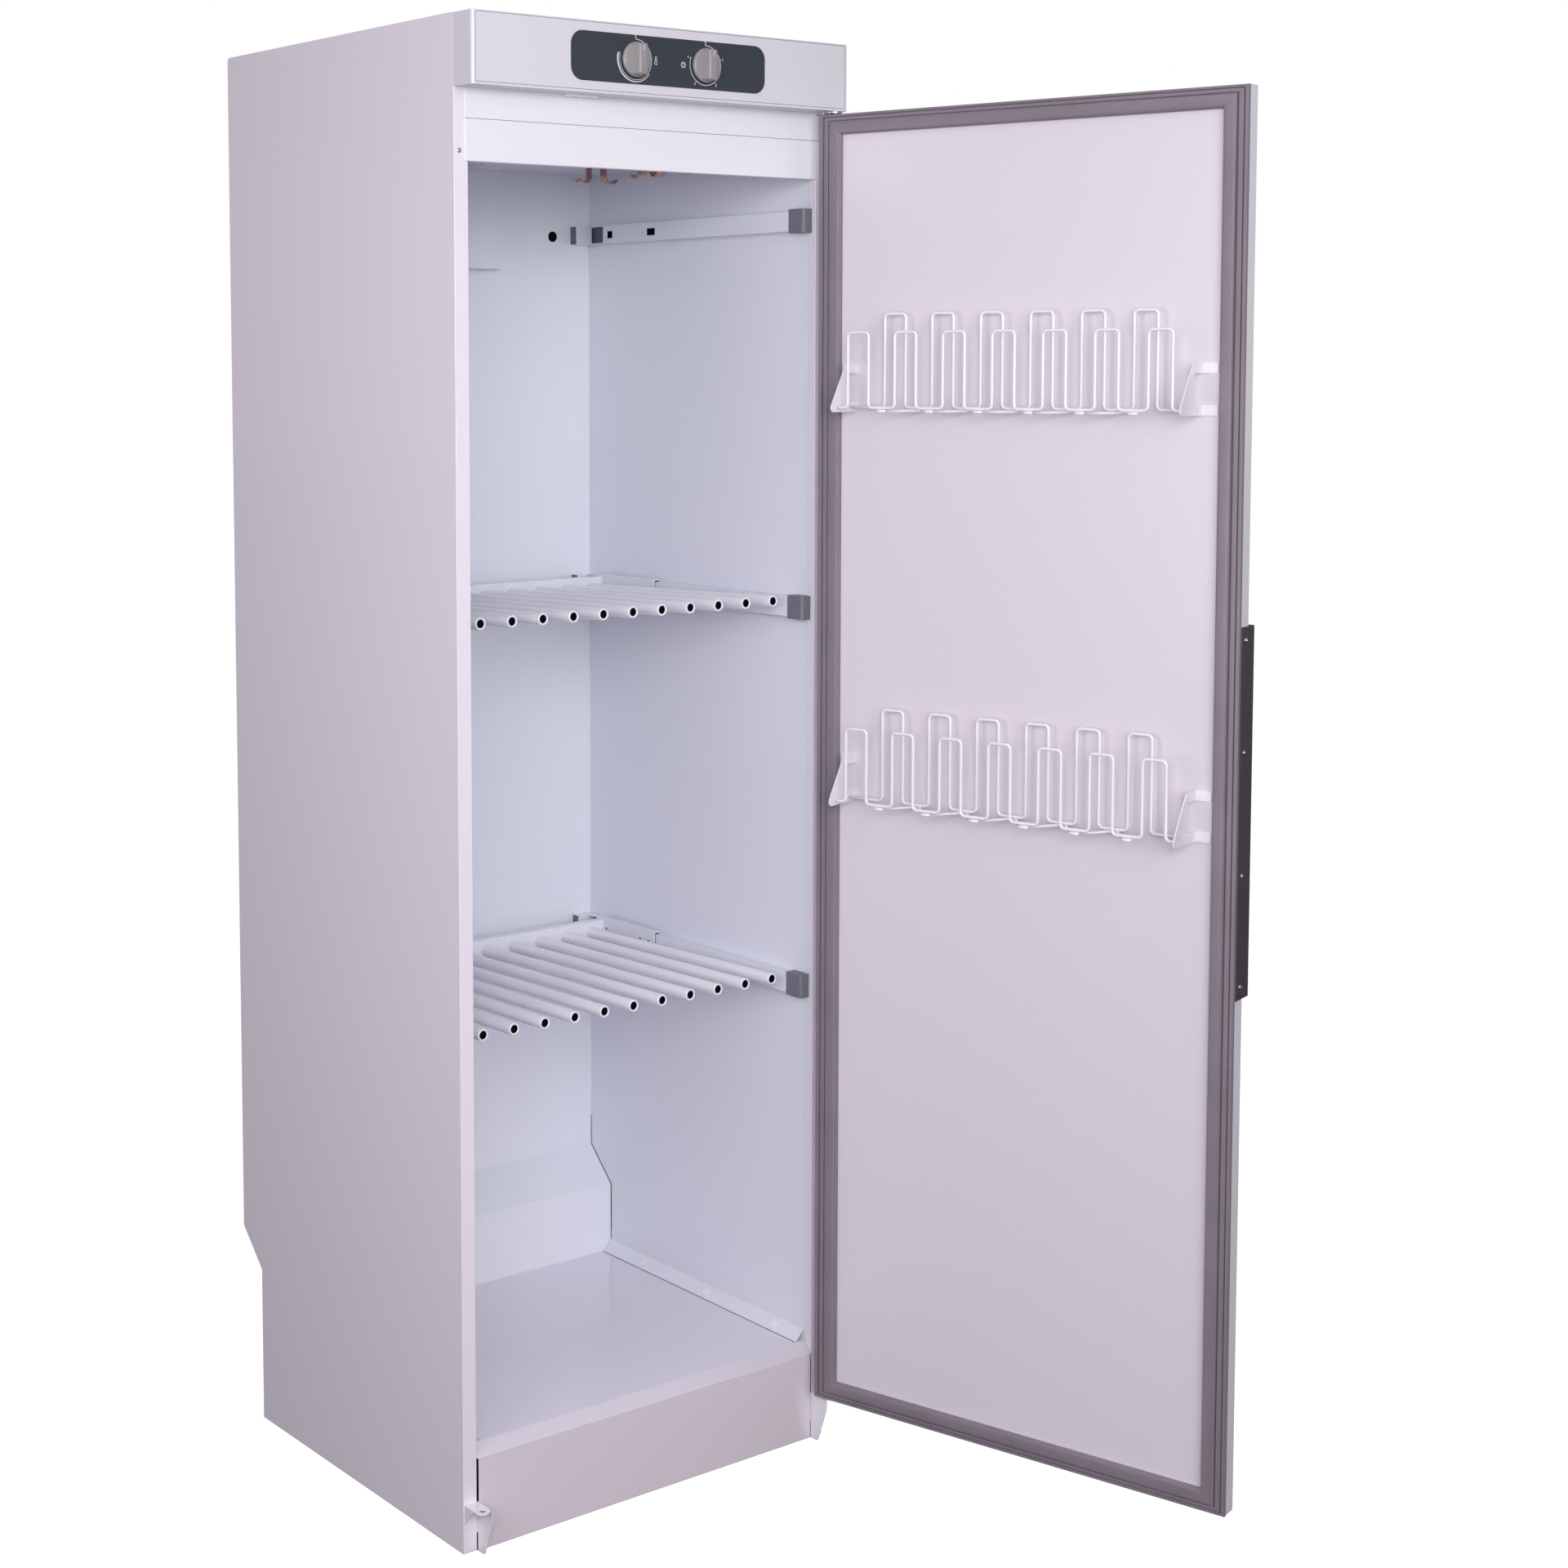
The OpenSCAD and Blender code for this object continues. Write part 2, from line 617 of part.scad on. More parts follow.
// Controls behind the fascia: a body with a bush that passes the fascia wall.
bush_r = 5;
shaft_gap = 0.06;
module control_body(x, w, d, h) difference() {
    union() {
        box([x - w / 2, fascia_in_y, knob_z - h / 2], [x + w / 2, fascia_in_y + d, knob_z + h / 2]);
        rod_y([x, -fascia_d + slack, knob_z], bush_r, fascia_d / 4);
    }
    rod_y([x, -fascia_d - 1, knob_z], shaft_r + shaft_gap, shaft_l + 4);
}
module timer_switch() color(machine_grey) in_case() control_body(knob_x, 44, 30, 44);
module thermostat() color(machine_grey) in_case() {
    control_body(-knob_x, 36, 24, 40);
    // capillary boss
    rod_y([-knob_x, fascia_in_y + 24, knob_z - 12], 4, 6);
}

// White contact tab under the fascia, pressed by nothing: it reads the shut door.
contact = [44, 13, 2.4];
module door_contact() color([0.96, 0.96, 0.96]) in_case()
    translate([-114 - contact.x / 2, -14.5, fascia_z - contact.z]) {
        cube(contact);
        translate([4, 3, -0.6]) cube([contact.x - 8, contact.y - 6, 1]);
    }

// ---------------------------------------------------------------- machine room

fan_top_z = case_h - skin_t;
fan_foot_z = ceiling_z + skin_t;
motor_z = case_h - 65;
blade_z = motor_z - 24;
strut_w = 6;
module fan_housing() color(zinc) in_case() {
    difference() {
        union() {
            rod_z([0, fan_y, fan_foot_z], duct_r + duct_wall, fan_top_z - fan_foot_z);
            rod_z([0, fan_y, fan_foot_z], duct_r + 12, 1.5);
            rod_z([0, fan_y, fan_top_z - 1.5], duct_r + 12, 1.5);
        }
        rod_z([0, fan_y, fan_foot_z - 1], duct_r, fan_top_z - fan_foot_z + 2);
    }
    // three arms to the motor
    difference() {
        for (i = [0 : 2]) rotate_about([0, fan_y], 120 * i)
            box([motor_r - 2, fan_y - strut_w / 2, motor_z + 8],
                [duct_r + duct_wall / 2, fan_y + strut_w / 2, motor_z + 14]);
        rod_z([0, fan_y, motor_z], motor_r, motor_l);
    }
}

module fan_motor() color(machine_grey) in_case() difference() {
    rod_z([0, fan_y, motor_z], motor_r, motor_l - 6);
    rod_z([0, fan_y, motor_z - 1], shaft_r + shaft_gap, 18);
}

blade_tip_gap = 3;
module fan_impeller() color([0.20, 0.21, 0.23]) in_case() {
    rod_z([0, fan_y, blade_z - 8], 14, 18);
    rod_z([0, fan_y, blade_z], shaft_r, motor_z - blade_z + 12);
    for (i = [0 : blades - 1]) rotate_about([0, fan_y], i * 360 / blades)
        translate([10, fan_y, blade_z + 1]) rotate([35, 0, 0])
            translate([0, -9, -0.75]) cube([duct_r - blade_tip_gap - 10, 18, 1.5]);
}

// Tubular heater in four runs joined by bends, on two straps.
heater_runs = 4;
heater_pitch = 20;
heater_half = 80;
heater_z = duct_z + 45;
module heater_element() color(zinc) in_case() {
    y = liner_y - duct_d / 2;
    for (i = [0 : heater_runs - 1])
        rod_x([-heater_half, y, heater_z + i * heater_pitch], heater_r, 2 * heater_half);
    for (i = [0 : heater_runs - 2]) let(side = i % 2 == 0 ? 1 : -1)
        translate([side * heater_half, y, heater_z + (i + 0.5) * heater_pitch])
            rotate([90, 0, 0]) rotate([0, 0, side > 0 ? -90 : 90])
                rotate_extrude(angle = 180) translate([heater_pitch / 2, 0]) circle(heater_r);
    for (s = [-1, 1])
        box([s * 50 - 4, y + heater_r - 1, heater_z - 8],
            [s * 50 + 4, liner_y, heater_z + (heater_runs - 1) * heater_pitch + 8]);
}

cutout_r = 8;
cutout_z = ceiling_z - 13.5;
module thermal_cutout() color([0.85, 0.84, 0.80]) in_case() {
    rod_y([0, liner_y - 8, cutout_z], cutout_r, 8);
    box([-cutout_r * 1.5, liner_y - 1.5, cutout_z - 5], [cutout_r * 1.5, liner_y, cutout_z + 5]);
}

module terminal_block() color([0.90, 0.90, 0.86]) in_case() difference() {
    box([cable_x - 50, cable_y - 60, fan_foot_z], [cable_x + 10, cable_y - 36, fan_foot_z + 28]);
    for (i = [0 : 4]) rod_z([cable_x - 42 + i * 11, cable_y - 48, fan_foot_z + 16], 3, 20);
}

// Cable gland in the top panel, open for a lead of the usual size.
cable_x = half_w - cable_side;
cable_y = case_d - cable_back;
cable_bush_r = 8;
module cable_inlet() color([0.15, 0.15, 0.16]) in_case() difference() {
    union() {
        rod_z([cable_x, cable_y, case_h - 8], cable_bush_r, 26);
        rod_z([cable_x, cable_y, case_h], 12, 7);
        rod_z([cable_x, cable_y, case_h - skin_t - 5], 12, 5);
    }
    rod_z([cable_x, cable_y, case_h - 9], 4, 28);
}

module exhaust_spigot() color(zinc) in_case() difference() {
    union() {
        rod_z([0, fan_y, case_h], duct_r + duct_wall, spigot_h);
        rod_z([0, fan_y, case_h], duct_r + 14, 1.5);
    }
    rod_z([0, fan_y, case_h - 1], duct_r, spigot_h + 2);
}

// ---------------------------------------------------------------- hooks

// One arm of a hook, as an outline: a straight drop and a half-round curl that ends in an upturn.
hook_gap = 11.5;
hook_open = 25;
module hook_arm() {
    translate([-hook_gap - hook_t / 2, -hook_drop]) square([hook_t, hook_drop]);
    translate([-hook_gap - hook_t / 2 - hook_r, -hook_drop]) difference() {
        circle(hook_r + hook_t);
        circle(hook_r);
        translate([-50, 0]) square([100, 50]);
        polygon([[0, 0], [-50, 0], [-50, -50 * tan(hook_open)]]);
    }
}

module ceiling_hooks() color(hook_zinc) in_case() for (h = hooks)
    translate([h.x, h.y, ceiling_z]) rotate([0, 0, h.z]) {
        translate([0, hook_w / 2, -hook_t]) rotate([90, 0, 0]) linear_extrude(hook_w) {
            hook_arm();
            mirror([1, 0]) hook_arm();
        }
        translate([-hook_gap - hook_t / 2, -hook_w / 2, -hook_t])
            cube([2 * hook_gap + hook_t, hook_w, hook_t]);
    }

// ---------------------------------------------------------------- rails and hangers

rail_corner_y = liner_y - rail_d;
// The web stops before the corner. A short hole and the latch slot lie in front of its end.
rail_web_y = liner_y - rail_web_back;
rail_hole = [liner_y - hole_back, liner_y - hole_back + hole_l];
rail_slot = [liner_y - slot_back, liner_y - slot_back + slot_l];
rail_punch = [-5.6, 4.5];
rail_wrap_x = rail_x - 18;
module rail(z, stop_y) {
    rail_y0 = stop_y + stop_l - 2;
    z0 = z - rail_h / 2;
    z1 = z + rail_h / 2;
    // run along the side wall
    difference() {
        box([rail_x, rail_y0, z0], [wall_x, liner_y, z1]);
        box([rail_x + rail_t, rail_y0 - 1, z0 + rail_t], [wall_x + 1, liner_y + 1, z1 - rail_t]);
        box([rail_x - 1, rail_web_y, z0 + rail_t], [wall_x + 1, liner_y + 1, z1 - rail_t]);
        for (h = [rail_hole, rail_slot])
            box([rail_x - 1, h[0], z + rail_punch[0]], [rail_x + rail_t + 1, h[1], z + rail_punch[1]]);
    }
    // short run on the back wall, with a closed end
    difference() {
        box([rail_wrap_x, rail_corner_y, z0], [wall_x, liner_y, z1]);
        box([rail_wrap_x + rail_t, rail_corner_y + rail_t, z0 + rail_t],
            [wall_x + 1, liner_y + 1, z1 - rail_t]);
        box([wall_x - 5, rail_corner_y - 1, z0 + rail_t], [wall_x + 1, liner_y + 1, z1 - rail_t]);
    }
}
module wall_rails_left() color(case_white) in_case() scale_x(-1)
    for (z = rail_z) rail(z, stop_y_left);
module wall_rails_right() color(case_white) in_case() for (z = rail_z) rail(z, stop_y_right);

// Plastic caps on the front ends of the rails, with a tongue inside the rail.
stop_edge_r = 4;
module end_stop(z, stop_y) {
    stop_x = rail_x - 1;
    rail_y0 = stop_y + stop_l - 2;
    y1 = stop_y + stop_l;
    difference() {
        translate([0, 0, z - stop_h / 2]) linear_extrude(stop_h) {
            translate([stop_x, stop_y + stop_edge_r]) square([wall_x - stop_x, stop_l - stop_edge_r]);
            translate([stop_x + stop_edge_r, stop_y])
                square([wall_x - stop_x - stop_edge_r, stop_l]);
            translate([stop_x + stop_edge_r, stop_y + stop_edge_r]) circle(stop_edge_r);
        }
        // pocket that takes the rail's end
        difference() {
            box([rail_x - slack, rail_y0 - slack, z - rail_h / 2 - slack],
                [wall_x + 1, y1 + 1, z + rail_h / 2 + slack]);
            box([rail_x + rail_t + slack, rail_y0 - 1, z - rail_h / 2 + rail_t + slack],
                [wall_x, y1 + 2, z + rail_h / 2 - rail_t - slack]);
        }
        // clear of the stile's return fold
        box([inner_half - slack, 0, z - stop_h],
            [wall_x + 1, stile_return + slack, z + stop_h]);
    }
}
module rail_end_stops() color(stop_grey) in_case() for (z = rail_z) {
    end_stop(z, stop_y_right);
    scale_x(-1) end_stop(z, stop_y_left);
}

// Channel that runs over a rail on each side of a hanger.
carriage_y1 = crossbar_y + 15;
carriage_y0 = carriage_y1 - carriage_l;
carriage_lip = 8.5;
glide_l = 12;
carriage_holes = [14, 34, 117];
module carriage(z) {
    x1 = carriage_x + rail_t + carriage_lip;
    difference() {
        box([carriage_x, carriage_y0, z - carriage_half_h], [x1, carriage_y1, z + carriage_half_h]);
        box([carriage_x + rail_t, carriage_y0 - 1, z - carriage_half_h + rail_t],
            [wall_x, carriage_y1 + 1, z + carriage_half_h - rail_t]);
        for (y = carriage_holes) rod_x([carriage_x - 1, carriage_y0 + y, z + 1], 2, rail_t + 2);
    }
    // glides above and below the rail
    for (y = [carriage_y0 + 2, carriage_y1 - 2 - glide_l]) for (up = [0, 1]) mirror_z(z, up)
        box([carriage_x + rail_t / 2, y, z + rail_h / 2 + run_gap],
            [x1, y + glide_l, z + carriage_half_h - rail_t / 2]);
}
// Mirrors its children about a level.
module mirror_z(z, flip) {
    if (flip == 0) children();
    else translate([0, 0, 2 * z]) mirror([0, 0, 1]) children();
}
module carriages(z) for (s = [-1, 1]) scale_x(s) carriage(z);

// Crossbar: a channel open to the back, with a hole for each tube.
tube_drop = 1;
// Places its children on a tube's axis, with z pointing forward along the tube.
module on_tube(i, z) translate([(i - (tubes - 1) / 2) * tube_pitch, crossbar_y, z - tube_drop])
    rotate([90 - tube_tilt, 0, 0]) children();

module crossbar(z) difference() {
    box([-carriage_x, crossbar_y, z - crossbar_h / 2],
        [carriage_x, crossbar_y + crossbar_d, z + crossbar_h / 2]);
    box([-carriage_x - 1, crossbar_y + rail_t, z - crossbar_h / 2 + rail_t],
        [carriage_x + 1, crossbar_y + crossbar_d + 1, z + crossbar_h / 2 - rail_t]);
    for (i = [0 : tubes - 1]) on_tube(i, z)
        translate([0, 0, -3]) cylinder(r = tube_r + fit_gap, h = 6);
}

module hanger_tubes(z) for (i = [0 : tubes - 1]) on_tube(i, z) translate([0, 0, -tube_tail])
    rotate_extrude() {
        lip = (tube_r - tube_bore_r) / 2;
        translate([tube_bore_r, 0]) square([2 * lip, tube_l - lip]);
        translate([tube_bore_r + lip, tube_l - lip]) circle(lip);
    }

module middle_crossbar() color(case_white) in_case() crossbar(rail_z[1] - hanger_drop);
module middle_tubes() color(inner_white) in_case() hanger_tubes(rail_z[1] - hanger_drop);
module middle_carriages() color(case_white) in_case() carriages(rail_z[1]);
module lower_crossbar() color(case_white) in_case() crossbar(rail_z[0] - hanger_drop);
module lower_tubes() color(inner_white) in_case() hanger_tubes(rail_z[0] - hanger_drop);
module lower_carriages() color(case_white) in_case() carriages(rail_z[0]);

// ---------------------------------------------------------------- hinges

// Foot bracket: a plate with the pin hole, a tall gusset in the slit beside the kick plate and a
// small gusset at the outside.
gusset_x = inner_half - bracket_t;
plate_end_r = pin_side - 1;
module foot_bracket(hole_r) {
    z1 = bracket_z;
    z0 = bracket_z - bracket_t;
    difference() {
        union() {
            box([gusset_x, pin_y, z0], [pin_x + plate_end_r, 0, z1]);
            rod_z([pin_x, pin_y, z0], plate_end_r, bracket_t);
        }
        rod_z([pin_x, pin_y, z0 - 1], hole_r, 4);
    }
    side_plate(gusset_x, bracket_t, [
        [0, z0], [pin_y - 7, z0], [pin_y - 7, z0 - 12], [-17, 2], [-13, 0.5], [-overlay, 0.5],
        [-overlay, 24], [stile_return - 1, 24], [stile_return - 1, z0 - 4], [0, z0 - 4]]);
    side_plate(pin_x + plate_end_r - bracket_t, bracket_t, [[0, z0], [-20, z0], [0, z0 - 24]]);
}
module hinge_bracket_lower() color(case_white) in_case() foot_bracket(pin_r + fit_gap);
module hinge_bracket_spare() color(case_white) in_case() scale_x(-1) foot_bracket(spare_hole_r);

// Upper plate, screwed to the fascia's underside.
head_plate_t = 2;
head_plate_z = fascia_z - head_plate_t;
head_screws = [[0, -6], [-8, -14]];
module hinge_bracket_upper() color(zinc) in_case() difference() {
    union() {
        box([gusset_x, pin_y, head_plate_z], [pin_x + plate_end_r, 0, fascia_z]);
        rod_z([pin_x, pin_y, head_plate_z], plate_end_r, head_plate_t);
    }
    rod_z([pin_x, pin_y, head_plate_z - 1], pin_r + fit_gap, 4);
}

// Pins with a head on the far side of each plate.
pin_in_door = 16;
module hinge_pins() color(zinc) in_case() {
    rod_z([pin_x, pin_y, bracket_z - bracket_t - 2], 5, 2);
    rod_z([pin_x, pin_y, bracket_z - bracket_t - 2], pin_r,
          door_z0 + pin_in_door - bracket_z + bracket_t + 2);
    rod_z([pin_x, pin_y, door_z1 - pin_in_door], pin_r, fascia_z - door_z1 + pin_in_door);
}

// Screws in the stiles and under the upper plate.
screw_x = half_w - 7.6;
screw_z = cover_z + 12;
module case_screws() color(zinc) in_case() {
    for (s = [-1, 1]) scale_x(s) rod_y([screw_x, -1, screw_z], 3, 1);
    for (p = head_screws)
        rod_z([pin_x + p.x, p.y, head_plate_z - 1], 2.4, 1);
}

// ---------------------------------------------------------------- door

hinge_pocket = [20, 22];
bush_r_outer = 4.6;
module door_outer_panel() color(door_white) in_door() difference() {
    box([-door_half_w, skin_y, door_z0], [door_half_w, -door_back, door_z1]);
    box([-door_half_w + skin_t, skin_y + skin_t, door_z0 + skin_t],
        [door_half_w - skin_t, -door_back + 1, door_z1 - skin_t]);
    rod_z([pin_x, pin_y, door_z0 - 1], bush_r_outer + fit_gap, 3);
    rod_z([pin_x, pin_y, door_z1 - 2], bush_r_outer + fit_gap, 3);
    for (z = handle_screw_zs) rod_x([-door_half_w - 1, handle_screw_y, z], screw_r + fit_gap, 3);
}

module door_core() color([0.88, 0.87, 0.80]) in_door() difference() {
    box([-door_half_w + skin_t, skin_y + skin_t, door_z0 + skin_t],
        [door_half_w - skin_t, panel_back_y, door_z1 - skin_t]);
    for (z = [door_z0, door_z1 - hinge_pocket.y])
        box([door_half_w - hinge_pocket.x, skin_y, z], [door_half_w, 0, z + hinge_pocket.y]);
}

module door_inner_panel() color(door_white) in_door()
    box([-door_half_w + skin_t, panel_back_y, door_z0 + skin_t],
        [door_half_w - skin_t, panel_y, door_z1 - skin_t]);

// Gasket: a flat base, a soft tube round the opening and two ribs outside it. The outer rib laps over
// the door's sides, clear of the handle, and ends inside its top and bottom.
gasket_edge = 1.5;
rib_w = 5;
rib_groove = 1.6;
rib_y = -5;
module door_gasket() color(gasket_grey) in_door() {
    half = door_half_w - gasket_edge;
    z0 = door_z0 + gasket_edge;
    z1 = door_z1 - gasket_edge;
    side = gasket_w - gasket_edge;
    end = gasket_h - gasket_edge;
    base_y = panel_y + gasket_base_t;
    flat_ring(half, z0, z1, side, end, panel_y, base_y);
    tube_in = side - gasket_tube_w;
    tube_end_in = end - gasket_tube_w;
    flat_ring(half - tube_in, z0 + tube_end_in, z1 - tube_end_in, gasket_tube_w, gasket_tube_w,
              base_y, gasket_y);
    lap = gasket_edge + gasket_lap;
    end_lap = gasket_edge - 0.5;
    end_w = rib_w - 1;
    flat_ring(half + lap, z0 - end_lap, z1 + end_lap, rib_w, end_w, handle_back_y + slack, rib_y);
    // the inner rib fills the space between the outer rib and the tube
    in = rib_w + rib_groove - lap;
    end_in = end_w + rib_groove - end_lap;
    flat_ring(half - in, z0 + end_in, z1 - end_in, tube_in - in - rib_groove,
              max(1, tube_end_in - end_in - rib_groove), base_y, rib_y - 1);
}

screw_r = 1.9;
module door_handle() color(handle_grey) in_door() difference() {
    x0 = handle_x - handle_t;
    y0 = handle_back_y - handle_d;
    z1 = handle_z + handle_l;
    union() {
        box([x0, y0, handle_z], [handle_x, handle_back_y, z1]);
        box([x0, y0, handle_z], [x0 + handle_fold, y0 + handle_t, z1]);
        box([x0 + handle_fold - handle_t, y0, handle_z], [x0 + handle_fold, y0 + 6, z1]);
    }
    for (z = handle_screw_zs) rod_x([x0 - 1, handle_screw_y, z], screw_r + fit_gap, 4);
}

module handle_screws() color(zinc) in_door() for (z = handle_screw_zs) {
    x0 = handle_x - handle_t;
    rod_x([x0 - 1.6, handle_screw_y, z], 3.2, 1.6);
    rod_x([x0 - 0.5, handle_screw_y, z], screw_r, handle_t + skin_t + 0.4);
}

// Plastic bushes in the door's hinge corners, with a collar against each bracket.
bush_gap = 0.3;
module hinge_bushes() color([0.16, 0.16, 0.17]) in_door() for (top = [false, true]) {
    z_edge = top ? door_z1 : door_z0;
    collar0 = top ? door_z1 : bracket_z + bush_gap;
    collar1 = top ? head_plate_z - bush_gap : door_z0;
    body0 = top ? door_z1 - pin_in_door - 3 : door_z0;
    difference() {
        union() {
            rod_z([pin_x, pin_y, body0], bush_r_outer, pin_in_door + 3);
            rod_z([pin_x, pin_y, collar0], 5.6, collar1 - collar0);
        }
        rod_z([pin_x, pin_y, top ? door_z1 - pin_in_door - 1 : bracket_z],
              pin_r + shaft_gap, top ? 30 : door_z0 - bracket_z + pin_in_door + 1);
    }
}

// ---------------------------------------------------------------- door racks

// A quarter bend of wire in the x-z plane, centred on its bend axis, from one angle on.
module bend(a) rotate([90, 0, 0]) rotate([0, 0, a]) rotate_extrude(angle = 90)
    translate([bend_r, 0]) circle(wire_r);

// One upright wire: loops of one height in a row, joined at the foot, with ends at the brackets.
module loop_wire(n, h, y, z) translate([0, y, z]) {
    first = -((n - 1) * loop_pitch + loop_w) / 2;
    end_x = bracket_x + 1;
    for (i = [0 : n - 1]) translate([first + i * loop_pitch, 0, 0]) {
        for (x = [0, loop_w]) rod_z([x, 0, bend_r], wire_r, h - 2 * bend_r);
        rod_x([bend_r, 0, h], wire_r, loop_w - 2 * bend_r);
        translate([bend_r, 0, h - bend_r]) bend(90);
        translate([loop_w - bend_r, 0, h - bend_r]) bend(0);
        translate([-bend_r, 0, bend_r]) bend(270);
        translate([loop_w + bend_r, 0, bend_r]) bend(180);
        if (i < n - 1)
            rod_x([loop_w + bend_r, 0, 0], wire_r, loop_pitch - loop_w - 2 * bend_r);
    }
    for (s = [-1, 1]) scale_x(s)
        rod_x([-first + bend_r, 0, 0], wire_r, end_x + first - bend_r);
}

// Bottom wire: a zigzag with round turns, welded under both upright wires.
turn_r = 7;
weld = 0.5;
base_front = rack_front_y + wire_d;
base_back = rack_back_y - wire_d;
leg_dx = loop_pitch / 2;
leg_dy = base_front - base_back - 2 * turn_r;
leg_d = norm([leg_dx, leg_dy]);
leg_a = -atan2(leg_dy, leg_dx) - asin(2 * turn_r / leg_d);
leg_l = sqrt(leg_d * leg_d - 4 * turn_r * turn_r);
module turn(x, front) translate([x, front ? base_front - turn_r : base_back + turn_r, 0])
    rotate([0, 0, (front ? 90 : 270) + leg_a]) rotate_extrude(angle = -2 * leg_a)
        translate([turn_r, 0]) circle(wire_r);
module base_wire(z) translate([0, 0, z - wire_d]) {
    first = -(loops - 2) * loop_pitch / 2;
    for (i = [0 : loops - 2]) turn(first + i * loop_pitch, true);
    for (i = [0 : loops - 3]) {
        x = first + i * loop_pitch;
        turn(x + leg_dx, false);
        for (s = [-1, 1])
            translate([x + (1 - s) * leg_dx, base_front - turn_r, 0]) scale_x(s)
                rotate([0, 0, leg_a]) rod_x([-weld, turn_r, 0], wire_r - fit_gap, leg_l + 2 * weld);
    }
}

module upper_rack_front_wire() color(door_white) in_door()
    loop_wire(loops, front_loop_h, rack_front_y, rack_z[1]);
module upper_rack_back_wire() color(door_white) in_door()
    loop_wire(loops - 1, back_loop_h, rack_back_y, rack_z[1]);
module lower_rack_front_wire() color(door_white) in_door()
    loop_wire(loops, front_loop_h, rack_front_y, rack_z[0]);
module lower_rack_back_wire() color(door_white) in_door()
    loop_wire(loops - 1, back_loop_h, rack_back_y, rack_z[0]);
module rack_base_wires() color(door_white) in_door() for (z = rack_z) base_wire(z);

// Rack bracket: an upright plate with a window, held by two arms on the inner panel.
arm_h = 12.5;
module rack_bracket(z) {
    z0 = z - 6;
    z1 = z0 + bracket_h;
    foot = panel_y + bracket_foot;
    head = panel_y + bracket_head;
    difference() {
        side_plate(bracket_x, bracket_t, [
            [panel_y, z0], [foot - 4, z0], [foot, z0 + 3], [foot, z0 + 8], [head, z1],
            [panel_y, z1]]);
        box([bracket_x - 1, panel_y - 1, z0 + arm_h],
            [bracket_x + bracket_t + 1, panel_y + bracket_head - 4, z1 - arm_h]);
        for (y = [rack_front_y, rack_back_y])
            rod_x([bracket_x - 1, y, z], wire_r + fit_gap, bracket_t + 2);
    }
    for (arm_z = [z0, z1 - arm_h])
        box([bracket_x, panel_y, arm_z], [bracket_x + arm_l, panel_y + bracket_t, arm_z + arm_h]);
}
module rack_brackets() color(door_white) in_door()
    for (s = [-1, 1]) scale_x(s) for (z = rack_z) rack_bracket(z);

// ---------------------------------------------------------------- assembly

side_panel_left();
side_panel_right();
liner_left();
liner_right();
back_panel();
liner_back();
floor_tray();
base_plate();
top_panel();
ceiling_panel();
skirting_left();
skirting_right();
skirting_plugs();
header_panel();
cover_panel();
fascia_housing();
fascia_front();
control_plate();
timer_switch();
thermostat();
fan_housing();
fan_motor();
heater_element();
thermal_cutout();
terminal_block();
cable_inlet();
exhaust_spigot();
air_duct_cover();
door_contact();
ceiling_hooks();
wall_rails_left();
wall_rails_right();
rail_end_stops();
hinge_bracket_upper();
hinge_bracket_lower();
hinge_bracket_spare();
hinge_pins();
case_screws();
fan_impeller();
temperature_knob();
timer_knob();
middle_crossbar();
middle_tubes();
middle_carriages();
lower_crossbar();
lower_tubes();
lower_carriages();
door_outer_panel();
door_core();
door_inner_panel();
door_gasket();
door_handle();
handle_screws();
hinge_bushes();
upper_rack_front_wire();
upper_rack_back_wire();
lower_rack_front_wire();
lower_rack_back_wire();
rack_base_wires();
rack_brackets();
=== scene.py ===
"""Looks of the drying cabinet: bevelled sheet metal, rubber, plastic and wire on the CAD frame."""
import json
import math

import bmesh
import bpy
from mathutils import Matrix, Vector


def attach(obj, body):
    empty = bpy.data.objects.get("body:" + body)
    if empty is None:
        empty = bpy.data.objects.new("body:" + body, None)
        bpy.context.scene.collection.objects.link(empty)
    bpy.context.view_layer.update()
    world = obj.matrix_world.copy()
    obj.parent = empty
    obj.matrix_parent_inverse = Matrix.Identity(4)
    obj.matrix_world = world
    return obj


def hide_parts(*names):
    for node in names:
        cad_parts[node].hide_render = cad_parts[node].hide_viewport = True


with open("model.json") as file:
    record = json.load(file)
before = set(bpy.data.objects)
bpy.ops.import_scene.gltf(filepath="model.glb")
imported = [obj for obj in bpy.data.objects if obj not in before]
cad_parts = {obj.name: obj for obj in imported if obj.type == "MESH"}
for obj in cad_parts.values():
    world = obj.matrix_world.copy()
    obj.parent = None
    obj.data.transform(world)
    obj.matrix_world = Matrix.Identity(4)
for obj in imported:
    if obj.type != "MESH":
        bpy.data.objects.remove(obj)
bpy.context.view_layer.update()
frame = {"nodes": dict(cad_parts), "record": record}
NODES = frame["nodes"]

# ------------------------------------------------------------------ places
# Lengths are in millimetres in the case's own axes, as in the CAD source: y is 0 at its front.
MM = 0.001
CASE_D = 561.0
DOOR_OPEN = 105.8
PIN = Vector((287.0, -27.0, 0.0))
CEILING_Z = 1760.0
LINER_Y = 509.0        # face of the inner back wall
LINER_LOW_Y = 459.0    # the same, below its fold
LINER_X = 278.5        # faces of the inner side walls
FOLD_ZS = (235.0, 285.0)
FLOOR_Z = 133.0
COVER_ZS = (1725.0, 1775.5)
HEAD_PLATE_Z = 1810.0  # under the upper hinge plate
FASCIA_ZS = (1812.0, 1899.0)
FASCIA_Y = -40.0
STILE_SCREW = (289.9, 1737.0)             # x and z
RAIL_ZS = (634.0, 1152.5, 1671.0)
RAIL_X = 263.0         # faces of the rails
